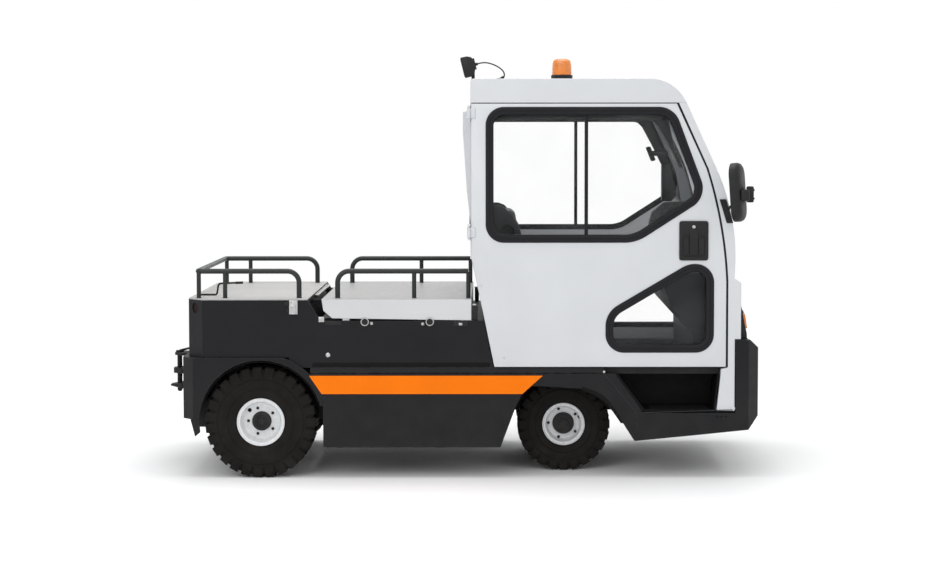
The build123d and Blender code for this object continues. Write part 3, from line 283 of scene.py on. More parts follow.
def coated(material, color):
    # Gives a painted material another colour on faces that look up
    tree = material.node_tree
    shader = findNode(tree, "BSDF_PRINCIPLED")
    paint = shader.inputs["Base Color"].links[0].from_socket
    split = addNode(tree, "SeparateXYZ", {0: addNode(tree, "TexCoord", {}).outputs["Normal"]})
    upward = rangeNode(tree, split.outputs["Z"], 0.7, 0.8, 0.0, 1.0)
    tree.links.new(mixColor(tree, upward, paint, color), shader.inputs["Base Color"])
    return material


looks = {
    "body_dark": surface("bodyDark", (0.0125, 0.0125, 0.014), 0.48, grain=0.12, edge=0.3, dust=0.05,
                         mottle=0.1, specular=0.14),
    "cab_white": surface("cabWhite", (0.645, 0.66, 0.68), 0.36, grain=0.05, edge=0.25, mottle=0.02,
                         specular=0.4),
    "orange": surface("orangeBand", (0.92, 0.19, 0.001), 0.5, mottle=0.03, specular=0.12),
    "deck_grey": surface("deckGrey", (0.40, 0.395, 0.385), 0.55, grain=0.2, grainScale=420.0, edge=0.35,
                         mottle=0.05),
    "rail_black": surface("railBlack", (0.018, 0.021, 0.021), 0.40, grain=0.06, mottle=0.12, specular=0.35),
    "frame_black": surface("frameBlack", (0.008, 0.008, 0.009), 0.6, grain=0.2, dust=0.15, mottle=0.2,
                           specular=0.25),
    "battery_grey": surface("batteryGrey", (0.05, 0.05, 0.055), 0.55, grain=0.15),
    "rubber": surface("sealRubber", (0.009, 0.009, 0.012), 0.55, grain=0.12, mottle=0.12, specular=0.22),
    "tyre": surface("tyreRubber", (0.0065, 0.0055, 0.005), 0.72, grain=0.4, grainScale=500.0, mottle=0.25,
                    dust=0.05, specular=0.14),
    "rim_silver": surface("rimPaint", (0.74, 0.75, 0.76), 0.38, grain=0.12, mottle=0.08, mottleScale=60.0,
                          dust=0.10),
    "black_plastic": surface("blackPlastic", (0.010, 0.010, 0.011), 0.5, grain=0.3, grainScale=1400.0,
                             mottle=0.15, specular=0.3),
    "seat_cloth": clothMaterial("seatCloth", (0.03, 0.03, 0.036)),
    "steel": surface("zincSteel", (0.50, 0.50, 0.49), 0.36, metallic=1.0, mottle=0.12, mottleScale=40.0,
                     grain=0.08),
    "glass": glassMaterial("windowGlass", (0.75, 0.80, 0.80), 0.004),
    "amber": lensMaterial("amberLens", (0.90, 0.26, 0.012), 0.35, 60.0),
    "red_lens": surface("redLens", (0.010, 0.001, 0.001), 0.35, mottle=0.2, specular=0.12),
    "clear_lens": lensMaterial("clearLens", (0.85, 0.87, 0.88), 0.5, 90.0),
    "mirror": surface("mirrorGlass", (0.75, 0.78, 0.80), 0.06, spread=0.03, metallic=1.0, mottle=0.02),
    # The cover's white paint has grey anti-slip coating on its flat top
    "cover_white": coated(surface("coverPaint", (0.60, 0.61, 0.62), 0.45, grain=0.15, edge=0.3, mottle=0.03),
                          (0.33, 0.33, 0.325)),
    "cabin_dark": surface("cabinDark", (0.010, 0.010, 0.012), 0.6, grain=0.3, grainScale=1400.0, mottle=0.15,
                          specular=0.08),
    "step_black": surface("stepBlack", (0.0045, 0.0045, 0.005), 0.6, grain=0.3, mottle=0.15, specular=0.12),
    # Painted shade: grey for the white-painted frames inside the cab, which stand in shade
    "frame_shade_grey": surface("frameShadeGrey", (0.17, 0.18, 0.19), 0.5, grain=0.08, mottle=0.06, specular=0.2),
}
# Nodes whose look isn't the one that their slot names; the side frames get a grey that is painted shade
nodeLooks = {"battery_cover": "cover_white", "dashboard": "cabin_dark", "steering_wheel": "cabin_dark",
             "steps": "step_black", "coupling": "frame_black", "side_frames": "frame_shade_grey"}
for node, slot in slotOf.items():
    for place in nodes[node].material_slots:
        place.material = looks[nodeLooks.get(node, slot)]
print("materials made", len(looks))


# Mesh helpers

def meshFrom(name, bm):
    mesh = bpy.data.meshes.new(name)
    bm.to_mesh(mesh)
    bm.free()
    return mesh


def evaluatedMesh(thing):
    return bpy.data.meshes.new_from_object(thing.evaluated_get(bpy.context.evaluated_depsgraph_get()))


def finishPiece(name, bm, ridesOn, look, sharp=35.0, replaced=()):
    bmesh.ops.remove_doubles(bm, verts=bm.verts, dist=1e-6)
    bmesh.ops.recalc_face_normals(bm, faces=bm.faces)
    mesh = meshFrom(name, bm)
    mesh.polygons.foreach_set("use_smooth", [True] * len(mesh.polygons))
    mesh.set_sharp_from_angle(angle=math.radians(sharp))
    mesh.materials.append(looks[look])
    piece = link(name, mesh)
    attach(piece, ridesOn)
    if replaced:
        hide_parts(*replaced)
    return piece


def axisMatrix(centre, axis):
    return Matrix.Translation(centre) @ Vector(axis).to_track_quat("Z", "Y").to_matrix().to_4x4()


def bevelEdges(bm, edges, width, segments=2):
    bmesh.ops.bevel(bm, geom=edges, offset=width, offset_type="OFFSET", affect="EDGES", segments=segments,
                    profile=0.5, material=-1, clamp_overlap=True)


def bridge(bm, rings):
    for ring, beside in zip(rings, rings[1:]):
        for k in range(len(ring)):
            m = (k + 1) % len(ring)
            bm.faces.new((ring[k], ring[m], beside[m], beside[k]))


def circle(radius, count, middle=0.0):
    angles = [k * math.tau / count for k in range(count)]
    return [(middle + radius * math.cos(a), radius * math.sin(a)) for a in angles]


def addPrism(bm, outline, low, high, place=Matrix.Identity(4), bevel=0.0, segments=2):
    part = bmesh.new()
    bottom = [part.verts.new((x, y, low)) for x, y in outline]
    top = [part.verts.new((x, y, high)) for x, y in outline]
    part.faces.new(bottom[::-1])
    part.faces.new(top)
    bridge(part, [bottom, top])
    if bevel:
        bevelEdges(part, part.edges[:], bevel, segments)
    part.transform(place)
    merge(bm, part)


def merge(bm, part):
    mesh = meshFrom("part", part)
    bm.from_mesh(mesh)
    bpy.data.meshes.remove(mesh)


def addBox(bm, x, y, z, bevel=0.002, place=Matrix.Identity(4)):
    outline = [(x[0], y[0]), (x[1], y[0]), (x[1], y[1]), (x[0], y[1])]
    addPrism(bm, outline, z[0], z[1], place, bevel)


def addTurned(bm, profile, place=Matrix.Identity(4), segments=48, closed=True):
    # Body turned about local Z. Profile columns: radius, height
    part = bmesh.new()
    verts = [part.verts.new((radius, 0.0, height)) for radius, height in profile]
    edges = [part.edges.new(pair) for pair in zip(verts, verts[1:])]
    if closed:
        edges.append(part.edges.new((verts[-1], verts[0])))
    bmesh.ops.spin(part, geom=verts + edges, cent=(0, 0, 0), axis=(0, 0, 1), angle=math.tau, steps=segments,
                   use_merge=True)
    bmesh.ops.remove_doubles(part, verts=part.verts, dist=1e-6)
    part.transform(place)
    merge(bm, part)


def cornerArc(before, here, after, radius, chords):
    back = (before - here).normalized()
    ahead = (after - here).normalized()
    half = back.angle(ahead) / 2
    centre = here + (back + ahead).normalized() * (radius / math.sin(half))
    first = here + back * (radius / math.tan(half)) - centre
    last = here + ahead * (radius / math.tan(half)) - centre
    return [centre + first.lerp(last, step / chords).normalized() * radius for step in range(chords + 1)]


def roundedPath(points, radii, chords=8):
    points = [Vector(point) for point in points]
    path = points[:1]
    for corner in zip(points, points[1:], points[2:], radii):
        path += cornerArc(*corner, chords)
    return path + points[-1:]


def addTube(bm, points, radii, radius, sides=16):
    # Round bar along straight runs with rounded corners, closed at both ends
    path = roundedPath(points, radii)
    part = bmesh.new()
    rings = []
    normal = None
    for i, point in enumerate(path):
        along = (path[min(i + 1, len(path) - 1)] - path[max(i - 1, 0)]).normalized()
        if normal is None:
            normal = along.orthogonal().normalized()
        normal = (normal - along * normal.dot(along)).normalized()
        side = along.cross(normal)
        around = [(normal * x + side * y) * radius for x, y in circle(1.0, sides)]
        rings.append([part.verts.new(point + away) for away in around])
    bridge(part, rings)
    part.faces.new(rings[0][::-1])
    part.faces.new(rings[-1])
    merge(bm, part)


def addBolt(bm, centre, axis, size=0.008, height=0.006, washer=True):
    # Hexagon head on a washer, standing on a surface
    place = axisMatrix(centre, axis)
    if washer:
        washerShape = [(0.0, 0.0), (size * 1.35, 0.0), (size * 1.35, size * 0.2), (0.0, size * 0.2)]
        addTurned(bm, washerShape, place, 16, False)
    addPrism(bm, circle(size, 6), size * 0.2, size * 0.2 + height, place, size * 0.12, 1)


def roundedOutline(width, height, radius, chords=6):
    outline = []
    corners = ((1, 1, 0), (-1, 1, 1), (-1, -1, 2), (1, -1, 3))
    for sx, sy, quarter in corners:
        for step in range(chords + 1):
            angle = (quarter + step / chords) * math.pi / 2
            x = sx * (width / 2 - radius) + radius * math.cos(angle)
            y = sy * (height / 2 - radius) + radius * math.sin(angle)
            outline.append((x, y))
    return outline


def mirrored(bm):
    # Adds the mirror image across the middle of the vehicle
    copy = bm.copy()
    copy.transform(Matrix.Scale(-1, 4, (0, 1, 0)))
    bmesh.ops.reverse_faces(copy, faces=copy.faces)
    merge(bm, copy)


# Floor

def makeFloor():
    # Beyond the vehicle's shadow the pale floor turns into the white ground
    spec = {"reach": 40.0, "color": (0.95, 0.95, 0.95), "near": 2.6, "far": 4.6}
    bm = bmesh.new()
    bmesh.ops.create_grid(bm, x_segments=2, y_segments=2, size=spec["reach"])
    mesh = meshFrom("floor", bm)
    material = surface("paleFloor", spec["color"], 0.85, mottle=0.004, mottleScale=0.5, specular=0.1)
    tree = material.node_tree
    place = addNode(tree, "TexCoord", {}).outputs["Object"]
    length = addNode(tree, "VectorMath", {0: place}, operation="LENGTH").outputs["Value"]
    away = rangeNode(tree, length, spec["near"], spec["far"], 0.0, 1.0)
    factor = mathNode(tree, "MULTIPLY", away, seenRays(tree))
    white = addNode(tree, "Emission", {}).outputs[0]
    painted = findNode(tree, "BSDF_PRINCIPLED").outputs[0]
    mix = addNode(tree, "MixShader", {"Fac": factor, 1: painted, 2: white}).outputs[0]
    tree.links.new(mix, findNode(tree, "OUTPUT_MATERIAL").inputs["Surface"])
    mesh.materials.append(material)
    link("floor", mesh)


makeFloor()


# Lamp cable

def makeCable():
    spec = {"radius": 0.004, "length": 0.26}
    route = [
        (0.126, 0.0, 2.416),
        (0.162, 0.0, 2.427),
        (0.225, -0.003, 2.412),
        (0.280, -0.007, 2.378),
        (0.292, -0.008, 2.340),
        (0.268, -0.005, 2.322),
        (0.236, 0.0, 2.318),
    ]
    curve = bpy.data.curves.new("lampCord", "CURVE")
    curve.dimensions = "3D"
    spline = curve.splines.new("NURBS")
    spline.points.add(len(route) - 1)
    for point, place in zip(spline.points, route):
        point.co = (*place, 1.0)
    spline.order_u = 3
    spline.use_endpoint_u = True
    spline.resolution_u = 12
    curve.bevel_depth = spec["radius"]
    curve.bevel_resolution = 4
    curve.use_fill_caps = True
    curve.materials.append(looks["rubber"])
    cord = link("lampCord", curve)
    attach(cord, "chassis")
    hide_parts("lamp_cable")


makeCable()
print("floor and cord made")


# Wheels

def wheelPlace(side, spec):
    sign = 1 if side == "left" else -1
    middle = Matrix.Translation((spec["x"], sign * spec["y"], spec["radius"]))
    return middle @ Matrix.Rotation(math.radians(-90 * sign), 4, "X")


def makeTyre(place, side, spec):
    radius, half, flange, lugs = spec["radius"], spec["width"] / 2, spec["flange"], spec["lugs"]
    wall = radius - spec["lug"]
    rise = wall - flange
    # Columns: share of the sidewall's height, depth under its widest place
    sidewall = [(0.03, 0.0195), (0.10, 0.0145), (0.24, 0.0115), (0.30, 0.0105), (0.33, 0.0050),
                (0.40, 0.0015), (0.50, 0.0002), (0.61, 0.0004), (0.63, 0.0034), (0.66, 0.0036),
                (0.68, 0.0010), (0.74, 0.0022), (0.76, 0.0062), (0.90, 0.0120)]
    outer = [(flange - 0.0115, half - 0.0225), (flange + 0.0003, half - 0.0225)]
    outer += [(flange + share * rise, half - depth) for share, depth in sidewall]
    outer += [(wall - 0.003, half - 0.0190), (wall - 0.001, half - 0.0310), (wall, 0.0)]
    profile = outer + [(r, -y) for r, y in reversed(outer[:-1])]
    bm = bmesh.new()
    addTurned(bm, profile, segments=96)
    pitch = math.tau / lugs
    for band, phase in ((1, 0.0), (-1, 0.5)):
        for index in range(lugs):
            middle = (index + phase) * pitch
            addLug(bm, middle, pitch * 0.35, radius, wall, half, band)
    bm.transform(wheelPlace(side, spec))
    finishPiece(f"roadTyre_{place}_{side}", bm, f"wheel_{place}_{side}", "tyre", 30.0,
                [f"tyre_{place}_{side}"])


def addLug(bm, middle, half, radius, wall, width, band):
    # Columns: place across the tyre, top radius, root radius, half angle at the top
    stations = [
        (0.004, radius - 0.0015, wall - 0.004, half * 0.82),
        (0.007, radius - 0.0002, wall - 0.004, half * 0.90),
        (width * 0.45, radius - 0.0002, wall - 0.004, half * 0.98),
        (width - 0.017, radius - 0.0004, wall - 0.006, half),
        (width - 0.009, radius - 0.0060, wall - 0.016, half),
        (width - 0.0035, radius - 0.0230, wall - 0.034, half * 0.99),
        (width - 0.0015, radius - 0.0400, wall - 0.044, half * 0.97),
        (width - 0.0022, radius - 0.0500, wall - 0.046, half * 0.94),
    ]
    rings = []
    for y, top, root, spread in stations:
        corners = [(-spread - 0.012, root), (-spread, top - 0.002), (-spread + 0.008, top),
                   (spread - 0.008, top), (spread, top - 0.002), (spread + 0.012, root)]
        rings.append([bm.verts.new((r * math.cos(middle + a), r * math.sin(middle + a), band * y))
                      for a, r in corners])
    bridge(bm, rings)
    bm.faces.new(rings[0])
    bm.faces.new(rings[-1])


def cutHoles(name, bm, holes):
    # Bores holes along local Z. Columns: place in X and Y, radius, two heights
    tools = bmesh.new()
    for x, y, radius, low, high in holes:
        addPrism(tools, circle(radius, 20), low, high, Matrix.Translation((x, y, 0)))
    return subtract(name, bm, tools)


def subtract(name, bm, tools):
    for part in (bm, tools):
        bmesh.ops.recalc_face_normals(part, faces=part.faces)
    base = link(name, meshFrom(name, bm))
    knife = link(name + "Cut", meshFrom(name + "Cut", tools))
    modifier = base.modifiers.new("holes", "BOOLEAN")
    modifier.operation = "DIFFERENCE"
    modifier.solver = "EXACT"
    modifier.object = knife
    bpy.context.view_layer.update()
    cut = evaluatedMesh(base)
    result = bmesh.new()
    result.from_mesh(cut)
    for mesh in (base.data, knife.data, cut):
        bpy.data.meshes.remove(mesh)
    return result


def makeRim(place, side, spec):
    flange, disc, hubRadius = spec["flange"], spec["disc"], spec["hub"]
    seat = spec["width"] / 2 - 0.022
    profile = [
        (flange - 0.0125, seat),
        (flange - 0.0005, seat + 0.0002),
        (flange - 0.0002, seat + 0.0050),
        (flange - 0.0020, seat + 0.0078),
        (flange - 0.0050, seat + 0.0070),
        (flange - 0.0080, seat + 0.0020),
        (flange - 0.0190, seat - 0.0010),
        (flange - 0.0240, disc + 0.0300),
        (flange - 0.0270, disc + 0.0120),
        (flange - 0.0330, disc + 0.0030),
        (flange - 0.0400, disc + 0.0000),
        (hubRadius + 0.0180, disc + 0.0),
        (hubRadius + 0.0080, disc + 0.0030),
        (hubRadius + 0.0012, disc + 0.0030),
        (hubRadius + 0.0012, disc - 0.0115),
        (flange - 0.0290, disc - 0.0115),
        (flange - 0.0220, -seat),
        (flange - 0.0125, -seat),
    ]
    bm = bmesh.new()
    addTurned(bm, profile, segments=80)
    bolts, valve = spec["bolts"], spec["bolts"] + 0.016
    holes = []
    for index in range(5):
        angle = index * math.tau / 5 - 0.314
        holes.append((bolts * math.sin(angle), bolts * math.cos(angle), 0.009, disc - 0.02, disc + 0.02))
    angle = spec["valve"]
    holes.append((valve * math.sin(angle), valve * math.cos(angle), 0.0125, disc - 0.02, disc + 0.026))
    bm = cutHoles(f"rim_{place}_{side}_raw", bm, holes)
    seatPlace = wheelPlace(side, spec)
    bm.transform(seatPlace)
    finishPiece(f"discWheel_{place}_{side}", bm, f"wheel_{place}_{side}", "rim_silver", 30.0,
                [f"rim_{place}_{side}"])
    # Nuts on their studs, seated in the holes of the disc
    nuts = bmesh.new()
    for hole in holes[:5]:
        addBolt(nuts, (*hole[:2], disc - 0.0115), (0, 0, 1), 0.0085, 0.016, False)
    nuts.transform(seatPlace)
    finishPiece(f"wheelNuts_{place}_{side}", nuts, f"wheel_{place}_{side}", "frame_black")
    cap = bmesh.new()
    end, start = disc + spec["hubEnd"], spec["hubStart"]
    capProfile = [(0.0235, start), (hubRadius - 0.006, start), (hubRadius - 0.006, disc - 0.024),
                  (hubRadius + 0.036, disc - 0.024), (hubRadius + 0.036, disc - 0.0125),
                  (hubRadius, disc - 0.0125), (hubRadius, end - 0.012), (hubRadius - 0.003, end - 0.004),
                  (hubRadius - 0.010, end - 0.0005), (hubRadius - 0.016, end),
                  (hubRadius - 0.020, end - 0.003), (0.034, end - 0.003), (0.030, end), (0.0235, end)]
    addTurned(cap, capProfile)
    for x, y in circle(hubRadius - 0.013 - 0.006, 6):
        addBolt(cap, (y, x, end - 0.003), (0, 0, 1), 0.0045, 0.003, False)
    cap.transform(seatPlace)
    finishPiece(f"hubCap_{place}_{side}", cap, f"wheel_{place}_{side}", "frame_black", 30.0,
                [f"hub_{place}_{side}"])


def makeWheels():
    rear = {"radius": 0.3225, "width": 0.195, "flange": 0.139, "lugs": 27, "lug": 0.013,
            "x": body["rearAxle"], "y": 0.5725, "disc": 0.025, "hub": 0.055, "bolts": 0.078, "hubEnd": 0.030,
            "hubStart": -0.0495, "valve": -0.855}
    front = {"radius": 0.274, "width": 0.155, "flange": 0.126, "lugs": 24, "lug": 0.013,
             "x": body["frontAxle"], "y": 0.3575, "disc": 0.008, "hub": 0.063, "bolts": 0.088,
             "hubEnd": 0.034, "hubStart": -0.068, "valve": 1.204}
    for side in ("left", "right"):
        for place, spec in (("rear", rear), ("front", front)):
            makeTyre(place, side, spec)
            makeRim(place, side, spec)


makeWheels()
print("wheels made")


# Rails

def makeRails():
    spec = {"y": 0.565, "bar": 0.0149, "post": 0.0128, "bend": 0.067, "foot": 1.033,
            "rear": (-1.499, -0.910), "rearPosts": (-1.493, -1.340), "cover": (-0.686, -0.241, 0.074)}
    y, top, foot = spec["y"], body["railTop"], spec["foot"]
    back, front = spec["rear"]
    rail = bmesh.new()
    side = [(front, y, foot), (front, y, top), (back, y, top)]
    points = side + [(x, -b, z) for x, b, z in reversed(side)]
    addTube(rail, points, (spec["bend"], 0.022, 0.022, spec["bend"]), spec["bar"])
    for x in spec["rearPosts"]:
        for b in (y, -y):
            addTube(rail, [(x, b, foot), (x, b, top - 0.004)], (), spec["post"])
    finishPiece("rearGuardRail", rail, "chassis", "rail_black", 50.0, ["rear_rail"])
    cover = bmesh.new()
    start, middle, end = spec["cover"]
    addTube(cover, [(start, y, foot), (start, y, top), (end, y, top)], (spec["bend"],), spec["bar"])
    for x in (middle, end):
        addTube(cover, [(x, y, foot), (x, y, top - 0.004)], (), spec["post"])
    mirrored(cover)
    finishPiece("coverGuardRails", cover, "battery_cover", "rail_black", 50.0, ["cover_rails"])


makeRails()


# Seat

def simulatePad(name, bm, inside, cap):
    # Cloth pressure swells the closed form, by no more than the cap and inside its box
    bmesh.ops.recalc_face_normals(bm, faces=bm.faces)
    pad = link(name, meshFrom(name, bm))
    remesh = pad.modifiers.new("remesh", "REMESH")
    remesh.mode = "VOXEL"
    remesh.voxel_size = 0.0065
    bpy.context.view_layer.update()
    fine = evaluatedMesh(pad)
    pad.modifiers.clear()
    pad.data = fine
    start = [v.co.copy() for v in fine.vertices]
    cloth = pad.modifiers.new("cloth", "CLOTH")
    cloth.settings.quality = 4
    cloth.settings.use_pressure = True
    cloth.settings.uniform_pressure_force = 4.0
    cloth.settings.effector_weights.gravity = 0.0
    cloth.settings.tension_stiffness = 12.0
    cloth.settings.bending_stiffness = 0.6
    for step in range(1, 21):
        bpy.context.scene.frame_set(step)
    settled = evaluatedMesh(pad)
    pad.modifiers.clear()
    low, high = inside
    for vertex, first, moved in zip(fine.vertices, start, settled.vertices):
        shift = moved.co - first
        if shift.length > cap:
            shift = shift.normalized() * cap
        place = first + shift
        vertex.co = [min(max(c, a), b) for c, a, b in zip(place, low, high)]
    bpy.context.scene.frame_set(1)
    result = bmesh.new()
    result.from_mesh(pad.data)
    bpy.data.objects.remove(pad)
    return result


def makeSeat():
    spec = {"cap": 0.012, "inset": 0.012, "channels": 4, "seam": 0.007, "face": 0.222, "slope": 0.142}
    inset = spec["inset"]
    for name, node in (("seatPad", "seat_cushion"), ("seatBackPad", "seat_back")):
        low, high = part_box(node)
        bm = bmesh.new()
        if node == "seat_cushion":
            outline = roundedOutline(high.x - low.x - 2 * inset, high.y - low.y - 2 * inset, 0.06)
            middle = ((low.x + high.x) / 2, (low.y + high.y) / 2, 0)
            addPrism(bm, outline, low.z + 0.001, high.z - 0.014, Matrix.Translation(middle), 0.022, 3)
        else:
            lower, upper = low.z + 0.001, high.z - 0.02
            side = [(0.312, lower), (0.393, lower), (0.338, upper), (0.251, upper)]
            place = Matrix(((1, 0, 0, 0), (0, 0, -1, 0), (0, 1, 0, 0), (0, 0, 0, 1)))
            addPrism(bm, side, low.y + inset, high.y - inset, place, 0.022, 3)
            bmesh.ops.reverse_faces(bm, faces=bm.faces)
        pad = simulatePad(name + "Raw", bm, (low, high), spec["cap"])
        # Sewn channels across the face that the driver leans on
        pitch = (high.y - low.y) / spec["channels"]
        for vertex in pad.verts:
            across = abs((vertex.co.y - low.y) / pitch % 1.0 - 0.5) * 2
            depth = spec["seam"] * max(0.0, (across - 0.86) / 0.14)
            face = spec["face"] + spec["slope"] * (high.z - vertex.co.z) / (high.z - low.z)
            if node == "seat_cushion" and vertex.co.z > high.z - 0.05:
                vertex.co.z -= depth
            elif node == "seat_back" and vertex.co.x > face:
                vertex.co.x -= depth
        pad = finishPiece(name, pad, "chassis", "seat_cloth", 70.0, [node])


makeSeat()
print("rails and seat made")


# Doors

def insetCorners(points, inset):
    # Corners of a closed clockwise outline moved inwards
    moved = []
    for before, here, after in zip(points[-1:] + points[:-1], points, points[1:] + points[:1]):
        arriving = (Vector(here) - Vector(before)).normalized()
        leaving = (Vector(after) - Vector(here)).normalized()
        inner = (Vector((arriving.y, -arriving.x)), Vector((leaving.y, -leaving.x)))
        middle = (inner[0] + inner[1]).normalized()
        moved.append(Vector(here) + middle * (inset / middle.dot(inner[0])))
    return moved


def roundedRing(corners, radii, chords=10):
    # Closed outline with an arc of its own radius at each corner
    ring = []
    for corner in zip(corners[-1:] + corners[:-1], corners, corners[1:] + corners[:1], radii):
        ring += cornerArc(*corner, chords)
    return ring


def windowRing(points, radii, inset):
    if not radii:
        return steppedRing(points, inset)
    return roundedRing(insetCorners(points, inset), [max(radius - inset, 0.03) for radius in radii])


def steppedRing(points, inset, radius=0.03, chords=6, steps=24):
    corners = roundedRing(insetCorners(points, inset), [radius] * len(points), chords)
    ring = []
    for index, here in enumerate(corners):
        after = corners[(index + 1) % len(corners)]
        count = steps if index % (chords + 1) == chords else 1
        ring += [here.lerp(after, step / count) for step in range(count)]
    return ring


def noseX(z):
    # Front face of the cab over the height
    path = [(1.327, 2.166), (1.501, 1.786)] + arcPoints((1.501, 1.786), (1.591, 1.500), (1.606, 1.157), 24)
    for (x, top), (after, low) in zip(path, path[1:]):
        if z >= low:
            return x + (after - x) * (top - z) / (top - low)
    return path[-1][0]


def addGasket(bm, points, radii, section, place):
    # Moulded rubber round a window. Section columns: inset from the outline, height over the panel
    rings = []
    for inset, height in section:
        rings.append([bm.verts.new(place(p.x, p.y, height)) for p in windowRing(points, radii, inset)])
    bridge(bm, rings + rings[:1])


def arcPoints(start, middle, end, chords):
    # Points along the circle through three points, without its first
    (ax, ay), (bx, by), (cx, cy) = start, middle, end
    d = 2 * (ax * (by - cy) + bx * (cy - ay) + cx * (ay - by))
    a, b, c = ax * ax + ay * ay, bx * bx + by * by, cx * cx + cy * cy
    centre = ((a * (by - cy) + b * (cy - ay) + c * (ay - by)) / d,
              (a * (cx - bx) + b * (ax - cx) + c * (bx - ax)) / d)
    radius = math.dist(centre, start)
    first, last = (math.atan2(y - centre[1], x - centre[0]) for x, y in (start, end))
    turns = [first + (last - first) * step / chords for step in range(1, chords + 1)]
    return [(centre[0] + radius * math.cos(turn), centre[1] + radius * math.sin(turn)) for turn in turns]


def sidePlace(y):
    # Sets an outline in X and Z, with its thickness along Y
    return Matrix(((1, 0, 0, 0), (0, 0, 1, y), (0, 1, 0, 0), (0, 0, 0, 1)))


# Windows of a door: corners along X and Z, and each corner's radius
doorWindows = [
    ([(0.175, 1.362), (0.175, 2.142), (1.256, 2.142), (1.425, 1.690), (1.411, 1.600), (1.040, 1.362)],
     [0.105, 0.105, 0.126, 0.120, 0.120, 0.230]),
    ([(0.865, 0.727), (0.865, 0.960), (1.340, 1.240), (1.490, 1.240), (1.490, 0.727)],
     [0.106, 0.140, 0.150, 0.106, 0.106]),
]


def makeDoor(side, sign):
    spec = {"inner": 0.630, "face": 0.670, "edge": 0.0018, "cover": 0.012, "axis": (0.078, 0.678),
            "hinges": (2.106, 1.422), "screws": [(0.280, 0.696), (0.146, 1.117)], "bar": (0.744, 0.764),
            "barY": (0.638, 0.662), "barZ": (1.405, 2.099)}
    outline = [(0.092, 1.290), (0.092, 2.161), (1.272, 2.161), (1.443, 1.788)]
    outline += arcPoints((1.443, 1.788), (1.523, 1.466), (1.560, 1.137), 20)
    outline += [(1.560, 0.645), (0.225, 0.645)]
    panel, tools = bmesh.new(), bmesh.new()
    addPrism(panel, outline, spec["inner"], spec["face"], sidePlace(0.0), spec["edge"])
    for points, radii in doorWindows:
        ring = [(p.x, p.y) for p in windowRing(points, radii, spec["cover"])]
        addPrism(tools, ring, spec["inner"] - 0.01, spec["face"] + 0.01, sidePlace(0.0))
    panel = subtract("doorSkin", panel, tools)
    ax, ay = spec["axis"]
    for z in spec["hinges"]:
        addTurned(panel, [(0.0062, z - 0.0298), (0.010, z - 0.0298), (0.010, z + 0.0298),
                          (0.0062, z + 0.0298)], Matrix.Translation((ax, ay, 0)), 24)
        addBox(panel, (ax + 0.008, 0.116), (0.6695, 0.6735), (z - 0.029, z + 0.029), 0.001)
    gasket = bmesh.new()
    section = [(0.0004, 0.0), (0.0002, 0.0030), (0.0020, 0.0050), (0.0060, 0.0058), (0.0200, 0.0058),
               (0.0215, 0.0042), (0.0235, 0.0042), (0.0250, 0.0058), (0.0400, 0.0056), (0.0440, 0.0040),
               (0.0460, 0.0010), (0.0460, -0.0395), (0.0125, -0.0395), (0.0125, -0.0005)]
    for points, radii in doorWindows:
        addGasket(gasket, points, radii, section, lambda u, v, h: (u, spec["face"] + h, v))
    addBox(gasket, spec["bar"], spec["barY"], spec["barZ"], 0.002)
    screws = bmesh.new()
    for x, z in spec["screws"]:
        addTurned(screws, [(0.0, 0.0), (0.007, 0.0), (0.0065, 0.0018), (0.004, 0.003), (0.0, 0.0032)],
                  axisMatrix((x, spec["face"], z), (0, 1, 0)), 16, False)
    x, z, y = 1.3715, 1.3735, spec["face"]
    plate, recess = bmesh.new(), bmesh.new()
    addPrism(plate, roundedOutline(0.167, 0.227, 0.014), 0.0, 0.0070,
             sidePlace(y) @ Matrix.Translation((x, z, 0)), 0.002)
    addPrism(recess, roundedOutline(0.128, 0.126, 0.012), 0.0030, 0.02,
             sidePlace(y) @ Matrix.Translation((x, z - 0.030, 0)))
    plate = subtract("handlePlate", plate, recess)
    addPrism(plate, roundedOutline(0.046, 0.150, 0.008), 0.0030, 0.0120,
             sidePlace(y) @ Matrix.Translation((x, z - 0.006, 0)), 0.003)
    for step in (-0.044, 0.044):
        addPrism(plate, roundedOutline(0.030, 0.096, 0.008), 0.0030, 0.0085,
                 sidePlace(y) @ Matrix.Translation((x + step, z - 0.034, 0)), 0.002)
    lock = bmesh.new()
    addTurned(lock, [(0.0, 0.0), (0.0095, 0.0), (0.0095, 0.0035), (0.0075, 0.0050), (0.0040, 0.0050),
                     (0.0030, 0.0040), (0.0, 0.0040)], axisMatrix((x, y + 0.0070, z + 0.080), (0, 1, 0)), 24,
              False)
    rows = [("doorSkin", panel, "cab_white", ["door_panel"]),
            ("doorGasket", gasket, "rubber", ["door_rubber"]), ("doorScrews", screws, "cab_white", []),
            ("handlePlate", plate, "black_plastic", ["door_handle"]), ("keyLock", lock, "steel", [])]
    for name, bm, look, replaced in rows:
        if sign < 0:
            bm.transform(Matrix.Scale(-1, 4, (0, 1, 0)))
        finishPiece(f"{name}_{side}", bm, f"door_{side}", look, 40.0, [f"{node}_{side}" for node in replaced])


makeDoor("left", 1)
makeDoor("right", -1)
print("doors made")


# Inside of the cab

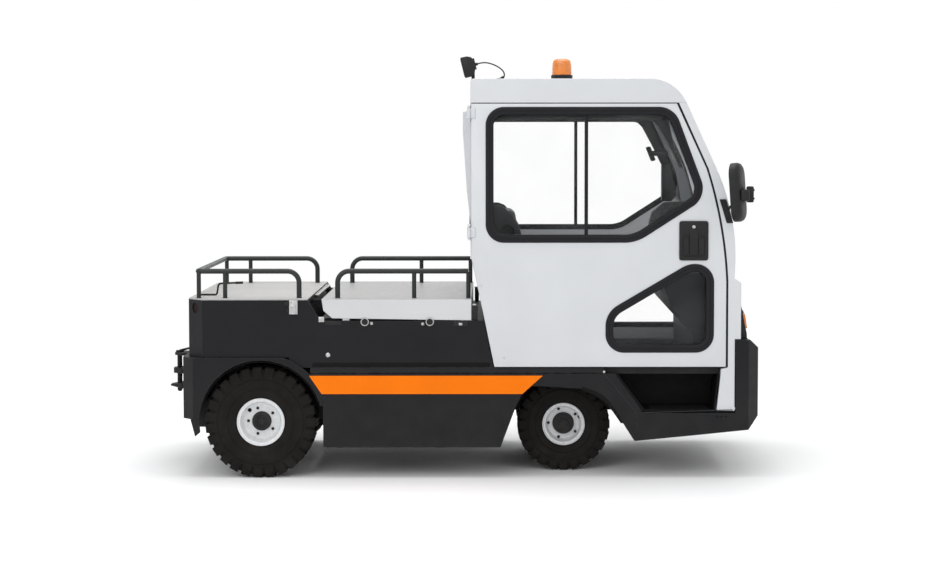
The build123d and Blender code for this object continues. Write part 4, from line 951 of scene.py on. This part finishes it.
def makeCabInside():
    spec = {"shell": [(0.165, 1.140), (0.165, 1.500), (0.180, 1.540), (0.215, 1.563), (0.253, 1.563),
                      (0.290, 1.548), (0.340, 1.492), (0.378, 1.430), (0.400, 1.340), (0.400, 1.140)],
            "wing": (0.236, 0.262), "back": (0.165, 0.225), "pod": 1.297}
    seat = bmesh.new()
    for low, high in ((-spec["wing"][1], -spec["wing"][0]), spec["wing"]):
        addPrism(seat, spec["shell"], low, high, sidePlace(0.0), 0.006)
    addBox(seat, spec["back"], (-0.238, 0.238), (1.120, 1.545), 0.012)
    for sign in (-1, 1):
        loop = [(0.270, sign * 0.274, 1.425), (0.300, sign * 0.274, 1.455), (0.345, sign * 0.274, 1.425),
                (0.350, sign * 0.274, 1.380)]
        addTube(seat, loop, (0.018, 0.018), 0.008)
    finishPiece("seatShell", seat, "chassis", "black_plastic")
    pods = bmesh.new()
    addPrism(pods, [(spec["pod"], 1.560), (spec["pod"], 1.795), (1.345, 1.795), (1.372, 1.700),
                    (1.392, 1.600), (1.360, 1.560)], 0.505, 0.573, sidePlace(0.0), 0.006)
    addPrism(pods, [(1.190, 1.905), (1.220, 1.912), (1.256, 1.822), (1.226, 1.815)], 0.464, 0.500,
             sidePlace(0.0), 0.008)
    addTube(pods, [(1.230, 0.482, 1.866), (1.290, 0.520, 1.868), (1.330, 0.572, 1.868)], (0.02,), 0.017)
    addPrism(pods, [(1.209, 1.590), (1.390, 1.600), (1.420, 1.500), (1.300, 1.360), (1.120, 1.360),
                    (1.123, 1.467), (1.140, 1.535)], -0.573, -0.505, sidePlace(0.0), 0.008)
    # Linings of the header and the front pillar, wider on the left, as seen through the near window
    for sign, wide in ((-1, 0.022), (1, 0.052)):
        addBox(pods, (0.170, 1.196), sorted((sign * 0.530, sign * 0.5785)), (2.067, 2.105), 0.004)
        addPrism(pods, [(1.120, 2.067), (1.150, 2.062), (1.177, 2.036), (1.232, 1.928), (1.297, 1.795),
                        (1.297 + wide, 1.790), (1.232 + wide, 1.935), (1.225, 2.070), (1.205, 2.100),
                        (1.120, 2.100)], *sorted((sign * 0.535, sign * 0.573)), sidePlace(0.0), 0.003)
    addPrism(pods, [(1.296, 1.902), (1.326, 1.912), (1.362, 1.822), (1.332, 1.812)], -0.070, 0.070,
             sidePlace(0.0), 0.008)
    addTube(pods, [(1.315, 0.0, 1.900), (1.285, 0.0, 2.040), (1.270, 0.0, 2.130)], (0.04,), 0.012)
    finishPiece("cabPods", pods, "chassis", "black_plastic")


def makeRoof():
    spec = {"half": 0.670, "round": 0.042, "wall": 0.050,
            "arc": [(1.104, 2.304), (1.224, 2.277), (1.311, 2.195)]}
    outline = [(0.088, 2.166), (0.088, 2.290), (0.102, 2.304), spec["arc"][0]]
    outline += arcPoints(*spec["arc"], 12) + [(1.327, 2.166)]
    roof, hollow = bmesh.new(), bmesh.new()
    addPrism(roof, outline, -spec["half"], spec["half"], sidePlace(0.0))
    top = [edge for edge in roof.edges if all(vert.co.z > 2.18 for vert in edge.verts)
           and abs(edge.verts[0].co.y - edge.verts[1].co.y) < 1e-6]
    bevelEdges(roof, top, spec["round"], 6)
    inner = [(0.128, 2.160), (0.128, 2.264), (1.104, 2.264), (1.234, 2.160)]
    addPrism(hollow, inner, -spec["half"] + spec["wall"], spec["half"] - spec["wall"], sidePlace(0.0))
    roof = subtract("roofShell", roof, hollow)
    finishPiece("roofShell", roof, "chassis", "cab_white", 25.0, ["cab_roof"])


def makeSeals():
    # Black seals in the gaps at the front of the doors, and the window gaskets of the cab's ends
    seals = bmesh.new()
    line = [(1.275, 2.1655), (1.4465, 1.788)]
    line += [(x + 0.0035, z) for x, z in arcPoints((1.443, 1.788), (1.523, 1.466), (1.560, 1.137), 20)]
    line += [(1.5635, 0.642)]
    ring = [(x - 0.0015, z) for x, z in line] + [(x + 0.0085, z) for x, z in reversed(line)]
    for low, high in ((-0.6703, -0.632), (0.632, 0.6703)):
        addPrism(seals, ring, low, high, sidePlace(0.0))
    finishPiece("doorSeals", seals, "chassis", "rubber", 30.0)
    ends = bmesh.new()
    screen = [(-0.560, 1.200), (-0.560, 2.110), (0.560, 2.110), (0.560, 1.200)]
    section = [(-0.012, 0.0), (-0.012, 0.004), (-0.009, 0.006), (0.018, 0.006), (0.024, 0.002),
               (0.024, -0.0215), (0.002, -0.0215), (0.002, 0.0)]
    # The screen is curved, so its gasket has a place at each step of its height
    addGasket(ends, screen, [], section, lambda u, v, h: (noseX(v) + h, u, v))
    rear = [(-0.480, 1.420), (-0.480, 2.110), (0.480, 2.110), (0.480, 1.420)]
    section = [(0.0005, 0.004), (0.002, 0.008), (0.026, 0.008), (0.030, 0.004), (0.030, -0.0115),
               (0.0005, -0.0115)]
    addGasket(ends, rear, [0.028] * 4, section, lambda u, v, h: (0.088 - h, u, v))
    finishPiece("screenGaskets", ends, "chassis", "rubber", 50.0)


def makeWiper():
    spec = {"pivot": (0.120, 1.235), "tip": (0.020, 1.660), "blade": (1.400, 1.930), "blades": 0.020}
    arm = bmesh.new()
    y, z = spec["pivot"]
    addTurned(arm, [(0.0, 0.0), (0.018, 0.0), (0.018, 0.014), (0.012, 0.020), (0.0, 0.020)],
              axisMatrix((noseX(z) - 0.018, y, z), (1, 0, 0)), 20, False)
    places = [(y + (spec["tip"][0] - y) * k / 8, z + (spec["tip"][1] - z) * k / 8) for k in range(9)]
    addTube(arm, [(noseX(h) - 0.002 + 0.004 * math.sin(k), b, h) for k, (b, h) in enumerate(places)],
            (0.05,) * 7, 0.0055, 8)
    low, high = spec["blade"]
    steps = [low + (high - low) * k / 16 for k in range(17)]
    addTube(arm, [(noseX(h) - 0.014, spec["blades"], h) for h in steps], (0.05,) * 15, 0.0065, 8)
    addBox(arm, (noseX(1.66) - 0.016, noseX(1.66) + 0.004), (0.012, 0.028), (1.645, 1.675), 0.003)
    finishPiece("wiper", arm, "chassis", "black_plastic", 50.0)


def makeHeadlamps():
    spec = {"panel": 1.646, "low": 0.805, "y": 0.555, "half": 0.085}
    panel, low, y, half = spec["panel"], spec["low"], spec["y"], spec["half"]
    housing, clear, amber, ring = bmesh.new(), bmesh.new(), bmesh.new(), bmesh.new()
    side = [(panel + 0.0005, low + 0.214), (panel + 0.0005, low + 0.0005), (panel + 0.040, low + 0.0005),
            (panel + 0.038, low + 0.030)]
    addPrism(housing, side, y - half, y + half, sidePlace(0.0), 0.004)
    place = axisMatrix((panel + 0.004, y - 0.022, low + 0.100), (1, 0, 0.16))
    addTurned(housing, [(0.0, 0.0), (0.058, 0.0), (0.058, 0.026), (0.054, 0.031), (0.0, 0.031)], place, 40,
              False)
    addTurned(ring, [(0.0475, 0.030), (0.0530, 0.030), (0.0520, 0.034), (0.0490, 0.035), (0.0475, 0.033)],
              place, 40)
    addTurned(clear, [(0.0, 0.0305), (0.0472, 0.0305), (0.0465, 0.034), (0.038, 0.038), (0.020, 0.041),
                      (0.0, 0.042)], place, 40, False)
    addPrism(amber, roundedOutline(0.040, 0.086, 0.012), 0.0, 0.022,
             axisMatrix((panel + 0.012, y + 0.062, low + 0.098), (1, 0, 0.16)), 0.004)
    for bm in (housing, clear, amber, ring):
        mirrored(bm)
    finishPiece("headlampHousings", housing, "chassis", "black_plastic", 35.0, ["headlamps"])
    finishPiece("headlampRings", ring, "chassis", "steel", 35.0)
    finishPiece("headlampLenses", clear, "chassis", "clear_lens", 50.0)
    finishPiece("indicators", amber, "chassis", "amber", 50.0)


def makeWorkLamp():
    # Lamp head on its bracket, with the cable's socket and its sleeve on the roof
    spec = {"centre": (0.069, 0.0, 2.3985), "size": (0.076, 0.118, 0.124), "lean": -14.0}
    depth, width, height = spec["size"]
    place = Matrix.Translation(spec["centre"]) @ Matrix.Rotation(math.radians(spec["lean"]), 4, "Y")
    lamp, lens, metal = bmesh.new(), bmesh.new(), bmesh.new()
    profile = [(-depth / 2 + 0.003, -height / 2), (-depth / 2 + 0.003, height / 2),
               (0.004, height / 2 - 0.001), (0.030, height / 2 - 0.012), (0.041, 0.026), (0.041, -0.022),
               (0.028, -0.036), (0.022, -height / 2)]
    addPrism(lamp, profile, -width / 2, width / 2, place @ sidePlace(0.0), 0.003)
    for index in range(9):
        y = -width / 2 + 0.010 + index * (width - 0.020) / 8
        addBox(lamp, (depth / 2 - 0.020, depth / 2 + 0.008), (y - 0.0022, y + 0.0022),
               (-height / 2 + 0.036, height / 2 - 0.022), 0.001, place)
    frame = place @ axisMatrix((-depth / 2 + 0.003, 0, 0), (-1, 0, 0))
    addPrism(lamp, roundedOutline(0.118, 0.110, 0.012), -0.004, 0.0024, frame, 0.001)
    addPrism(lens, roundedOutline(0.100, 0.092, 0.008), 0.0024, 0.0030, frame)
    addTube(lamp, [(0.090, 0, 2.4050), (0.126, 0, 2.416)], (), 0.0088)
    addBox(lamp, (0.0882, 0.108), (-0.026, 0.026), (2.3045, 2.362), 0.002)
    addBox(lamp, (0.0882, 0.154), (-0.026, 0.026), (2.3042, 2.3098), 0.001)
    for y in (-0.014, 0.014):
        addBolt(metal, (0.136, y, 2.3098), (0, 0, 1), 0.006, 0.004)
    addBox(lamp, (0.194, 0.222), (-0.014, 0.014), (2.3042, 2.3235), 0.004)
    addTube(lamp, [(0.214, 0.003, 2.3165), (0.238, 0.0, 2.3185), (0.262, -0.004, 2.3225),
                   (0.284, -0.007, 2.336)], (0.02, 0.01), 0.0084)
    finishPiece("workLampHead", lamp, "chassis", "black_plastic", 35.0, ["work_lamp"])
    finishPiece("workLampLens", lens, "chassis", "clear_lens", 35.0)
    finishPiece("lampBolts", metal, "chassis", "steel", 35.0)


makeCabInside()
makeRoof()
makeSeals()
makeWiper()
makeHeadlamps()
makeWorkLamp()
print("cab made")


# Fittings of the body

def addDome(bm, centre, radius, height):
    # Domed knob or screw head facing the side
    shape = [(0.0, 0.0), (radius, 0.0), (radius * 0.98, height * 0.35), (radius * 0.8, height * 0.75),
             (radius * 0.45, height * 0.96), (0.0, height)]
    addTurned(bm, shape, axisMatrix(centre, (0, 1, 0)), 24, False)


def makeFittings():
    spec = {"side": 0.663, "face": 0.675, "axle": body["rearAxle"]}
    y, face = spec["side"], spec["face"]
    zinc, black, dark = bmesh.new(), bmesh.new(), bmesh.new()
    # Striker plate on the rear box, with its catch and screws
    addBox(zinc, (-0.9575, -0.9095), (y, y + 0.003), (0.950, 1.031), 0.0008)
    addBox(zinc, (-0.948, -0.919), (y + 0.002, y + 0.012), (0.978, 1.004), 0.003)
    for x, z in ((-0.948, 1.020), (-0.920, 1.018), (-0.948, 0.962), (-0.920, 0.960)):
        addBolt(zinc, (x, y + 0.003, z), (0, 1, 0), 0.0055, 0.004)
    addBox(black, (-0.985, -0.959), (y, y + 0.010), (1.000, 1.021), 0.003)
    addBox(black, (-0.974, -0.961), (y, y + 0.006), (0.965, 0.978), 0.002)
    # Lifting rings below the cover
    for x in (-0.522, -0.147):
        place = axisMatrix((x, y + 0.005, 0.906), (0, 1, 0))
        addTurned(zinc, circle(0.0032, 10, 0.021), place, 32)
        addTurned(black, [(0.0, -0.005), (0.0165, -0.005), (0.0165, -0.001), (0.0, -0.001)], place, 24, False)
    for x, z in ((-0.483, 0.897), (-0.1885, 0.894)):
        addBolt(zinc, (x, y, z), (0, 1, 0), 0.0065, 0.004)
    # Small bolt heads and latch plates along the body's upper edge, and two black plates under the cover's
    # lower edge that are painted shade of the gap there
    addDome(zinc, (-0.735, y, 0.714), 0.0155, 0.011)
    addDome(zinc, (0.8577, face, 0.6167), 0.0075, 0.004)
    # Painted shade: black plates for the shadow in the gap between the cover and the tub
    addBox(black, (-0.752, -0.655), (y, y + 0.004), (0.886, 0.9105), 0.0015)
    addBox(black, (-0.010, 0.072), (y, y + 0.005), (0.880, 0.9105), 0.0015)
    addBox(zinc, (0.020, 0.040), (y + 0.004, y + 0.0075), (0.886, 0.900), 0.001)
    addBox(zinc, (-0.788, -0.756), (y - 0.001, y + 0.003), (0.905, 0.935), 0.001)
    addBolt(zinc, (-0.772, y + 0.003, 0.916), (0, 1, 0), 0.006, 0.004)
    # Catch between the cover and the cab
    addBox(black, (0.101, 0.128), (0.600, 0.655), (0.912, 0.998), 0.003)
    addBox(zinc, (0.099, 0.120), (0.612, 0.645), (0.998, 1.006), 0.001)
    addBox(black, (0.104, 0.150), (0.630, 0.6615), (0.900, 0.9125), 0.002)
    # Painted shade: a black strip over the skirt, for the shadow under the overhang above the sill
    addBox(dark, (-0.825, 0.200), (y - 0.001, y + 0.0015), (0.645, 0.6695), 0.0006)
    # Lip of the front wheel arch
    lip = [(0.732, 0.531), (0.790, 0.512), (0.846, 0.486), (0.890, 0.445), (0.925, 0.395), (0.968, 0.319),
           (0.955, 0.319), (0.905, 0.390), (0.866, 0.437), (0.800, 0.485), (0.732, 0.510)]
    addPrism(dark, lip, face - 0.040, face + 0.0014, sidePlace(0.0), 0.0006, 1)
    # Painted shade: black strips behind the slits round the step, for the shade inside the body
    addBox(dark, (1.040, 1.640), (0.628, 0.660), (0.366, 0.392), 0.0006)
    addPrism(dark, [(1.000, 0.440), (1.040, 0.440), (1.085, 0.385), (1.040, 0.372)], 0.628, 0.660,
             sidePlace(0.0))
    # Screws at the foot of the front beam
    for x in (1.512, 1.536, 1.560):
        addDome(dark, (x, face, 0.356), 0.005, 0.003)
    for bm in (zinc, black, dark):
        mirrored(bm)
    # Hinge strip and lever on the rear deck
    addBox(zinc, (-0.848, -0.8235), (-0.250, 0.500), (1.020, 1.030), 0.001)
    for step in range(9):
        addBolt(zinc, (-0.836, -0.225 + step * 0.0875, 1.030), (0, 0, 1), 0.0045, 0.003)
    lever = [(-1.510, -0.405, 1.0425), (-1.412, -0.405, 1.0425), (-1.402, -0.405, 1.108),
             (-1.262, -0.405, 1.113)]
    addTube(black, lever, (0.012, 0.020), 0.0055)
    addTube(black, [(-1.300, -0.405, 1.112), (-1.258, -0.405, 1.113)], (), 0.0075)
    finishPiece("zincFittings", zinc, "chassis", "steel", 35.0, ["fittings"])
    finishPiece("blackFittings", black, "chassis", "black_plastic", 35.0)
    finishPiece("darkTrimAndShade", dark, "chassis", "step_black", 35.0)
    # Liners over the rear wheels
    liner = bmesh.new()
    middle, arch = (spec["axle"], 0.3225), [math.radians(20 + 7 * k) for k in range(21)]
    ring = [(middle[0] + r * math.cos(a), middle[1] + r * math.sin(a))
            for r, angles in ((0.3515, arch), (0.3455, arch[::-1])) for a in angles]
    for low, high in ((-0.640, -0.400), (0.400, 0.640)):
        addPrism(liner, ring, low, high, sidePlace(0.0))
    finishPiece("archLiners", liner, "chassis", "step_black", 30.0)
    # Painted highlight: a lighter, glossier bead along the ridge of the front fender, for the light caught by
    # its bent edge
    creaseHighlight = bmesh.new()
    addTube(creaseHighlight, [(0.855, face, 0.606), (1.043, face, 0.379), (1.600, face, 0.396)], (0.02,), 0.0022, 8)
    mirrored(creaseHighlight)
    finishPiece("fenderCreaseHighlight", creaseHighlight, "chassis", "rail_black", 50.0)


makeFittings()
print("fittings made")


# Mirrors

def makeMirrors():
    spec = {"centre": (1.614, 0.767, 1.655), "size": (0.060, 0.170, 0.336), "turn": 22.0, "lean": -4.0,
            "elbow": (1.698, 0.680, 1.645), "behind": (1.680, 0.767, 1.643), "clamp": (0.040, 0.036, 0.092)}
    depth, width, height = spec["size"]
    # Columns: place along the depth, share of the outline
    shell = [(-0.5, 0.93), (-0.5, 0.985), (-0.42, 1.0), (0.05, 1.0), (0.28, 0.93), (0.42, 0.80), (0.5, 0.55)]
    housing = bmesh.new()
    rings = []
    for along, share in shell:
        outline = roundedOutline(width * share, height * (1 - (1 - share) * 0.55), 0.075 * share, 8)
        rings.append([housing.verts.new((along * depth, x, y)) for x, y in outline])
    bridge(housing, rings)
    recess = [housing.verts.new((v.co.x + 0.004, v.co.y * 0.99, v.co.z * 0.995)) for v in rings[0]]
    bridge(housing, [recess, rings[0]])
    housing.faces.new(recess)
    housing.faces.new(rings[-1])
    glass = bmesh.new()
    outline = roundedOutline(width * 0.89, height * 0.93, 0.066, 8)
    place = Matrix(((0, 0, 1, 0), (1, 0, 0, 0), (0, 1, 0, 0), (0, 0, 0, 1)))
    addPrism(glass, outline, -depth / 2 + 0.0015, -depth / 2 + 0.0045, place, 0.0008, 1)
    head = Matrix.Translation(spec["centre"]) @ Matrix.Rotation(math.radians(spec["turn"]), 4, "Z")
    head = head @ Matrix.Rotation(math.radians(spec["lean"]), 4, "Y")
    for bm in (housing, glass):
        bm.transform(head)
    x, y, z = spec["centre"]
    ex, ey, ez = spec["behind"]
    addPrism(housing, [(1.518, 1.612), (1.556, 1.612), (1.598, 1.475), (1.560, 1.475)], 0.0, 0.008,
             sidePlace(0.670), 0.002, 1)
    addTube(housing, [(1.568, 0.680, 1.560), spec["elbow"], spec["behind"], (x + 0.020, y, z + 0.018)],
            (0.020, 0.020), 0.009)
    a, b, c = (size / 2 for size in spec["clamp"])
    addBox(housing, (ex - a, ex + a), (ey - b, ey + b), (ez - c, ez + c), 0.008)
    for rise in (0.024, -0.024):
        addBolt(housing, (ex + a, ey, ez + rise), (1, 0, 0), 0.006, 0.004)
    addBox(housing, (1.618, 1.668), (0.800, 0.846), (ez - 0.036, ez + 0.030), 0.010)
    addTube(housing, [(1.643, 0.823, ez), spec["behind"]], (), 0.010)
    for along, up in ((1.543, 1.590), (1.576, 1.498)):
        addBolt(housing, (along, 0.678, up), (0, 1, 0), 0.006, 0.004)
    mirrored(housing)
    mirrored(glass)
    finishPiece("mirrorHousings", housing, "chassis", "black_plastic", 40.0, ["mirrors"])
    finishPiece("mirrorPanes", glass, "chassis", "mirror", 40.0)


makeMirrors()


# Beacon and lamps

def makeBeacon():
    spec = {"x": 0.638}
    place = Matrix.Translation((spec["x"], 0.0, body["roof"]))
    base = bmesh.new()
    rim = [(0.0, 0.0005), (0.0680, 0.0005), (0.0682, 0.010), (0.0655, 0.014), (0.0650, 0.030),
           (0.0665, 0.034), (0.0660, 0.041), (0.0625, 0.043), (0.0, 0.043)]
    addTurned(base, rim, place, 56, False)
    finishPiece("beaconBase", base, "chassis", "black_plastic", 35.0, ["beacon"])
    dome = bmesh.new()
    lens = [(0.0, 0.0435), (0.0595, 0.0435), (0.0600, 0.050), (0.0590, 0.085), (0.0575, 0.110),
            (0.0545, 0.124), (0.0485, 0.134), (0.0380, 0.140), (0.0200, 0.1425), (0.0, 0.143)]
    addTurned(dome, lens, place, 56, False)
    finishPiece("beaconDome", dome, "chassis", "amber", 50.0)


def makeSteeringWheel():
    spec = {"centre": (1.110, 0.0, 1.235), "lean": (-0.6, 0.0, 0.8), "radius": 0.190, "grip": 0.0135}
    place = axisMatrix(spec["centre"], spec["lean"])
    wheel = bmesh.new()
    addTurned(wheel, circle(spec["grip"], 14, spec["radius"]), place, 72)
    hub = [(0.0112, -0.028), (0.030, -0.028), (0.042, -0.012), (0.043, 0.008), (0.036, 0.018),
           (0.015, 0.0215), (0.0112, 0.0205)]
    addTurned(wheel, hub, place, 40)
    for turn in (90, 210, 330):
        spoke = [(0.036, -0.018), (0.110, -0.013), (0.180, -0.015), (0.180, 0.015), (0.110, 0.013),
                 (0.036, 0.018)]
        addPrism(wheel, spoke, -0.0045, 0.0045, place @ Matrix.Rotation(math.radians(turn), 4, "Z"), 0.002, 2)
    finishPiece("gripWheel", wheel, "steering_wheel", "black_plastic", 40.0, ["steering_wheel"])


def makeTowPin():
    # Pin with its head and the bent lever that lifts it
    spec = {"x": -1.704, "low": 0.415, "head": 0.656, "radius": 0.0149, "lever": 0.0068, "reach": 0.066}
    x, head = spec["x"], spec["head"]
    pin = bmesh.new()
    shape = [(0.0, spec["low"]), (spec["radius"] - 0.005, spec["low"]), (spec["radius"], spec["low"] + 0.010),
             (spec["radius"], head + 0.0005), (0.0235, head + 0.0005), (0.0235, head + 0.007),
             (0.021, head + 0.0095), (0.0, head + 0.0095)]
    addTurned(pin, shape, Matrix.Translation((x, 0, 0)), 32, False)
    hand = (x + spec["reach"], head + 0.024)
    addTube(pin, [(x, 0, head + 0.008), (hand[0], 0, hand[1])], (), spec["lever"])
    addTube(pin, [(hand[0], -0.037, hand[1]), (hand[0], 0.037, hand[1])], (), spec["lever"])
    finishPiece("liftingPin", pin, "tow_pin", "frame_black", 40.0, ["tow_pin"])


makeBeacon()
makeSteeringWheel()
makeTowPin()
print("mirrors, beacon and steering wheel made")
